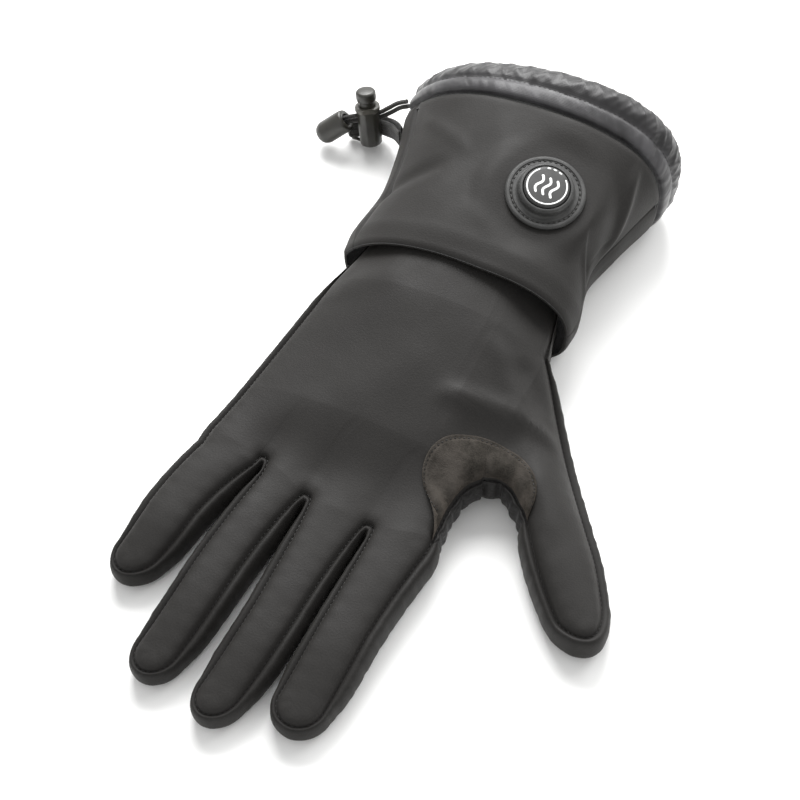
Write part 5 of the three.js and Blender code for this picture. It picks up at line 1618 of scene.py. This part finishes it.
class GLOVE_OT_button(bpy.types.Operator):
    """Adds the power button: a sewn flange with its housing, the cap and the printed heat mark"""

    bl_idname = "glove.button"
    bl_label = "Power button"

    def execute(self, context):
        sizes = context.scene.glove_sizes
        own = button_frame()
        rim, outer = sizes.flange_diameter / 2 * METRE, sizes.housing_diameter / 2 * METRE
        bore, height, flange = outer - 1.7, 5.6, 1.8
        floor, groove = flange - 0.4, flange - 0.35
        profile = [(0, 0), (rim - 0.6, 0), (rim - 0.1, 0.5), (rim - 0.15, 1.2), (rim - 0.8, flange)]
        profile += [(rim - 1.9, flange), (rim - 2.2, groove), (rim - 2.8, groove), (rim - 3.1, flange)]
        profile += [(outer + 0.9, flange), (outer + 0.15, flange + 0.6), (outer - 0.1, height - 1.1)]
        profile += [(outer - 0.6, height - 0.25), (outer - 1.0, height), (bore + 0.15, height)]
        profile += [(bore, height - 0.2), (bore, floor), (0, floor)]
        profile = rounded(profile, 0.35)
        add_turned("button_housing", profile, 160, own, "rubber", "glove", "button_flange")

        # The cap: its top's flat part bulges as a parabola by 0.25 mm.
        radius, top, bulge = bore - 0.3, height + 0.9, 0.25
        low, flat = floor + 0.8 + 0.3, radius - 0.9
        profile = [(0, low), (radius, low), (radius, top - 1.0), (radius - 0.35, top - 0.35), (flat, top)]
        profile += [(flat * (1 - s), top + bulge * (1 - (1 - s) ** 2)) for s in np.linspace(0, 1, 10)[1:]]
        add_turned("button_top", profile, 128, own, "cap", "button", "button_cap")

        turns = np.linspace(0, 2 * np.pi, 700)
        circle_line = np.stack([np.cos(turns), np.sin(turns), np.zeros_like(turns)], axis=1) * (rim - 2.5)
        path = placed(circle_line + UP * groove, own)
        out = np.broadcast_to(SEAT_OUT, path.shape)
        points, triangles = stitches(path, out, sizes.stitch_pitch * METRE, 1.6, 0.22)
        add_piece("flange_stitches", points, triangles, ("thread",), "glove")

        # The mark: three wavy lines of one width inside a ring that is open at the top, where three
        # level bars are.
        lines = []
        s = np.linspace(-1, 1, 40)
        for x in (-3.2, 0.0, 3.2):
            wave = np.stack([x + 0.85 * np.sin(s * np.pi * 1.15), 4.2 * s - 0.3], axis=1)
            lines.append((wave, 0.5))
        ring = np.radians(np.linspace(133, 407, 120))
        lines.append((7.9 * np.stack([np.cos(ring), np.sin(ring)], axis=1), 0.29))
        for degrees in (72, 90, 108):
            bar = np.radians(np.linspace(degrees - 5.5, degrees + 5.5, 12))
            lines.append((7.9 * np.stack([np.cos(bar), np.sin(bar)], axis=1), 0.34))
        parts = []
        for line, half in lines:
            height = top + bulge * (1 - ((line**2).sum(axis=1) / flat**2)) + 0.02
            path = np.concatenate([line, height[:, None]], axis=1)
            section = [(half, -0.05), (half, 0.03), (half * 0.8, 0.06)]
            section = np.array(section + [(-across, up) for across, up in reversed(section)])
            far = lengths(path)
            end = np.minimum(far, far[-1] - far)
            scale = np.sqrt(np.clip(1 - (1 - np.clip(end / half, 0, 1)) ** 2, 0.02, 1))
            points, triangles, _ = tube(path, section, np.broadcast_to(UP, path.shape), scale)
            points[:, 2] = np.maximum(points[:, 2], path[:, 2].min() - 0.3)
            parts.append((points, triangles))
        points, triangles = together(parts)
        add_piece("button_mark", placed(points, own), triangles, ("ink",), "button")
        return {"FINISHED"}


class GLOVE_OT_cord_lock(bpy.types.Operator):
    """Adds the cord lock's barrel with its bar, and its spring plunger"""

    bl_idname = "glove.cord_lock"
    bl_label = "Cord lock"

    def execute(self, context):
        sizes = context.scene.glove_sizes
        own = lock_frame()
        outer, quads, inner = lock_barrel(sizes)
        points, triangles, _ = wall(placed(outer, own), twins(outer)[quads], placed(inner, own))
        height = (points - own[1]) @ own[0][2]
        rim = height[triangles].mean(axis=1) > sizes.lock_height * METRE - 2.2
        plastic, faces = ("plastic", "rim"), rim.astype(int)
        replaced = ("cord_lock_body",)
        add_piece(
            "lock_barrel", points, triangles, plastic, "glove", replaced, faces=faces, sharp=60
        )
        # Two arms and the bar that the tape goes round.
        reach_out = np.hypot(BAR_OUT, BAR_BEHIND)
        half = sizes.tape_width * METRE / 2 + BAR_RADIUS
        parts = []
        way = np.array((BAR_OUT, BAR_BEHIND, 0.0)) / reach_out
        for height in (TAPE_HEIGHT - half, TAPE_HEIGHT + half):
            line = way[None] * np.linspace(4.0, reach_out, 14)[:, None] + np.array((0, 0, height))
            section = circle(BAR_RADIUS, 20) * np.array((1.0, 0.7))
            points, triangles, _ = tube(line, section, np.broadcast_to(UP, line.shape))
            parts.append((points, triangles))
        line = np.linspace(-half - 0.6, half + 0.6, 16)[:, None] * UP + np.array((BAR_OUT, BAR_BEHIND, 0.0))
        line[:, 2] += TAPE_HEIGHT
        scale = np.ones(len(line))
        scale[[0, -1]] = 0.75
        sideways = np.broadcast_to((1.0, 0.0, 0.0), line.shape)
        points, triangles, _ = tube(line, circle(BAR_RADIUS, 24), sideways, scale)
        points, triangles = together([*parts, (points, triangles)])
        add_piece("lock_bar", placed(points, own), triangles, ("plastic",), "glove", sharp=60)

        radius, head = sizes.plunger_diameter / 2 * METRE, 4.4
        low, under = 5.8, sizes.lock_height * METRE + 2.6
        bend = np.linspace(0, np.pi / 2, 10)
        profile = [(0, low), (radius - 0.3, low), (radius, low + 0.3), (radius, under), (head - 0.7, under)]
        profile += [(head - 0.2, under + 0.2), (head, under + 0.8)]
        profile += list(zip(head - 1.3 + 1.3 * np.cos(bend), under + 3.4 + 1.3 * np.sin(bend), strict=True))
        profile += [(head - 2.4, under + 4.95), (0, under + 5.0)]
        add_turned("lock_plunger", profile, 72, own, "plastic", "plunger", "cord_lock_plunger")
        return {"FINISHED"}


class GLOVE_OT_tape(bpy.types.Operator):
    """Adds the ribbed tape that holds the cord lock to the cuff"""

    bl_idname = "glove.tape"
    bl_label = "Anchor tape"

    def execute(self, context):
        sizes = context.scene.glove_sizes
        line = tape_line(sizes)
        half, thick = sizes.tape_width * METRE / 2, sizes.tape_thickness * METRE / 2
        across = np.linspace(-1, 1, 25)
        ribs = thick * (0.86 + 0.14 * np.cos(across * np.pi * 6)) * np.sqrt(np.clip(1 - across**8, 0, 1))
        section = np.concatenate(
            [np.stack([ribs, across * half], axis=1), np.stack([-ribs, across * half], axis=1)[::-1][1:-1]]
        )
        up = np.broadcast_to(lock_frame()[0][2], line.shape)
        points, triangles, uv = tube(line, section, up)
        tape = add_piece(
            "anchor_webbing", points, triangles, ("webbing",), "glove", ("anchor_tape",), uv
        )
        return {"FINISHED"}


OPERATORS = (
    GLOVE_OT_stage,
    GLOVE_OT_drawcord,
    GLOVE_OT_back,
    GLOVE_OT_palm,
    GLOVE_OT_strips,
    GLOVE_OT_crotch,
    GLOVE_OT_cuff,
    GLOVE_OT_tunnel,
    GLOVE_OT_button,
    GLOVE_OT_cord_lock,
    GLOVE_OT_tape,
)


class GLOVE_PT_panel(bpy.types.Panel):
    """The glove's sizes, colours and pieces"""

    bl_label = "Heated glove"
    bl_space_type = "VIEW_3D"
    bl_region_type = "UI"
    bl_category = "Glove"

    def draw(self, context):
        for group in (context.scene.glove_sizes, context.scene.glove_colours):
            box = self.layout.box()
            for name in group.__annotations__:
                box.prop(group, name)
        for operator in OPERATORS:
            self.layout.operator(operator.bl_idname)


CLASSES = (GloveSizes, GloveColours, *OPERATORS, GLOVE_PT_panel)


def register():
    for cls in CLASSES:
        bpy.utils.register_class(cls)
    bpy.types.Scene.glove_sizes = bpy.props.PointerProperty(type=GloveSizes)
    bpy.types.Scene.glove_colours = bpy.props.PointerProperty(type=GloveColours)


def unregister():
    del bpy.types.Scene.glove_colours
    del bpy.types.Scene.glove_sizes
    for cls in reversed(CLASSES):
        bpy.utils.unregister_class(cls)


def main():
    register()
    bpy.ops.glove.stage()
    bpy.ops.glove.drawcord()
    bpy.ops.glove.back()
    bpy.ops.glove.palm()
    bpy.ops.glove.strips()
    bpy.ops.glove.crotch()
    bpy.ops.glove.cuff()
    bpy.ops.glove.tunnel()
    bpy.ops.glove.button()
    bpy.ops.glove.cord_lock()
    bpy.ops.glove.tape()
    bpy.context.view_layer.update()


if __name__ == "__main__":
    main()
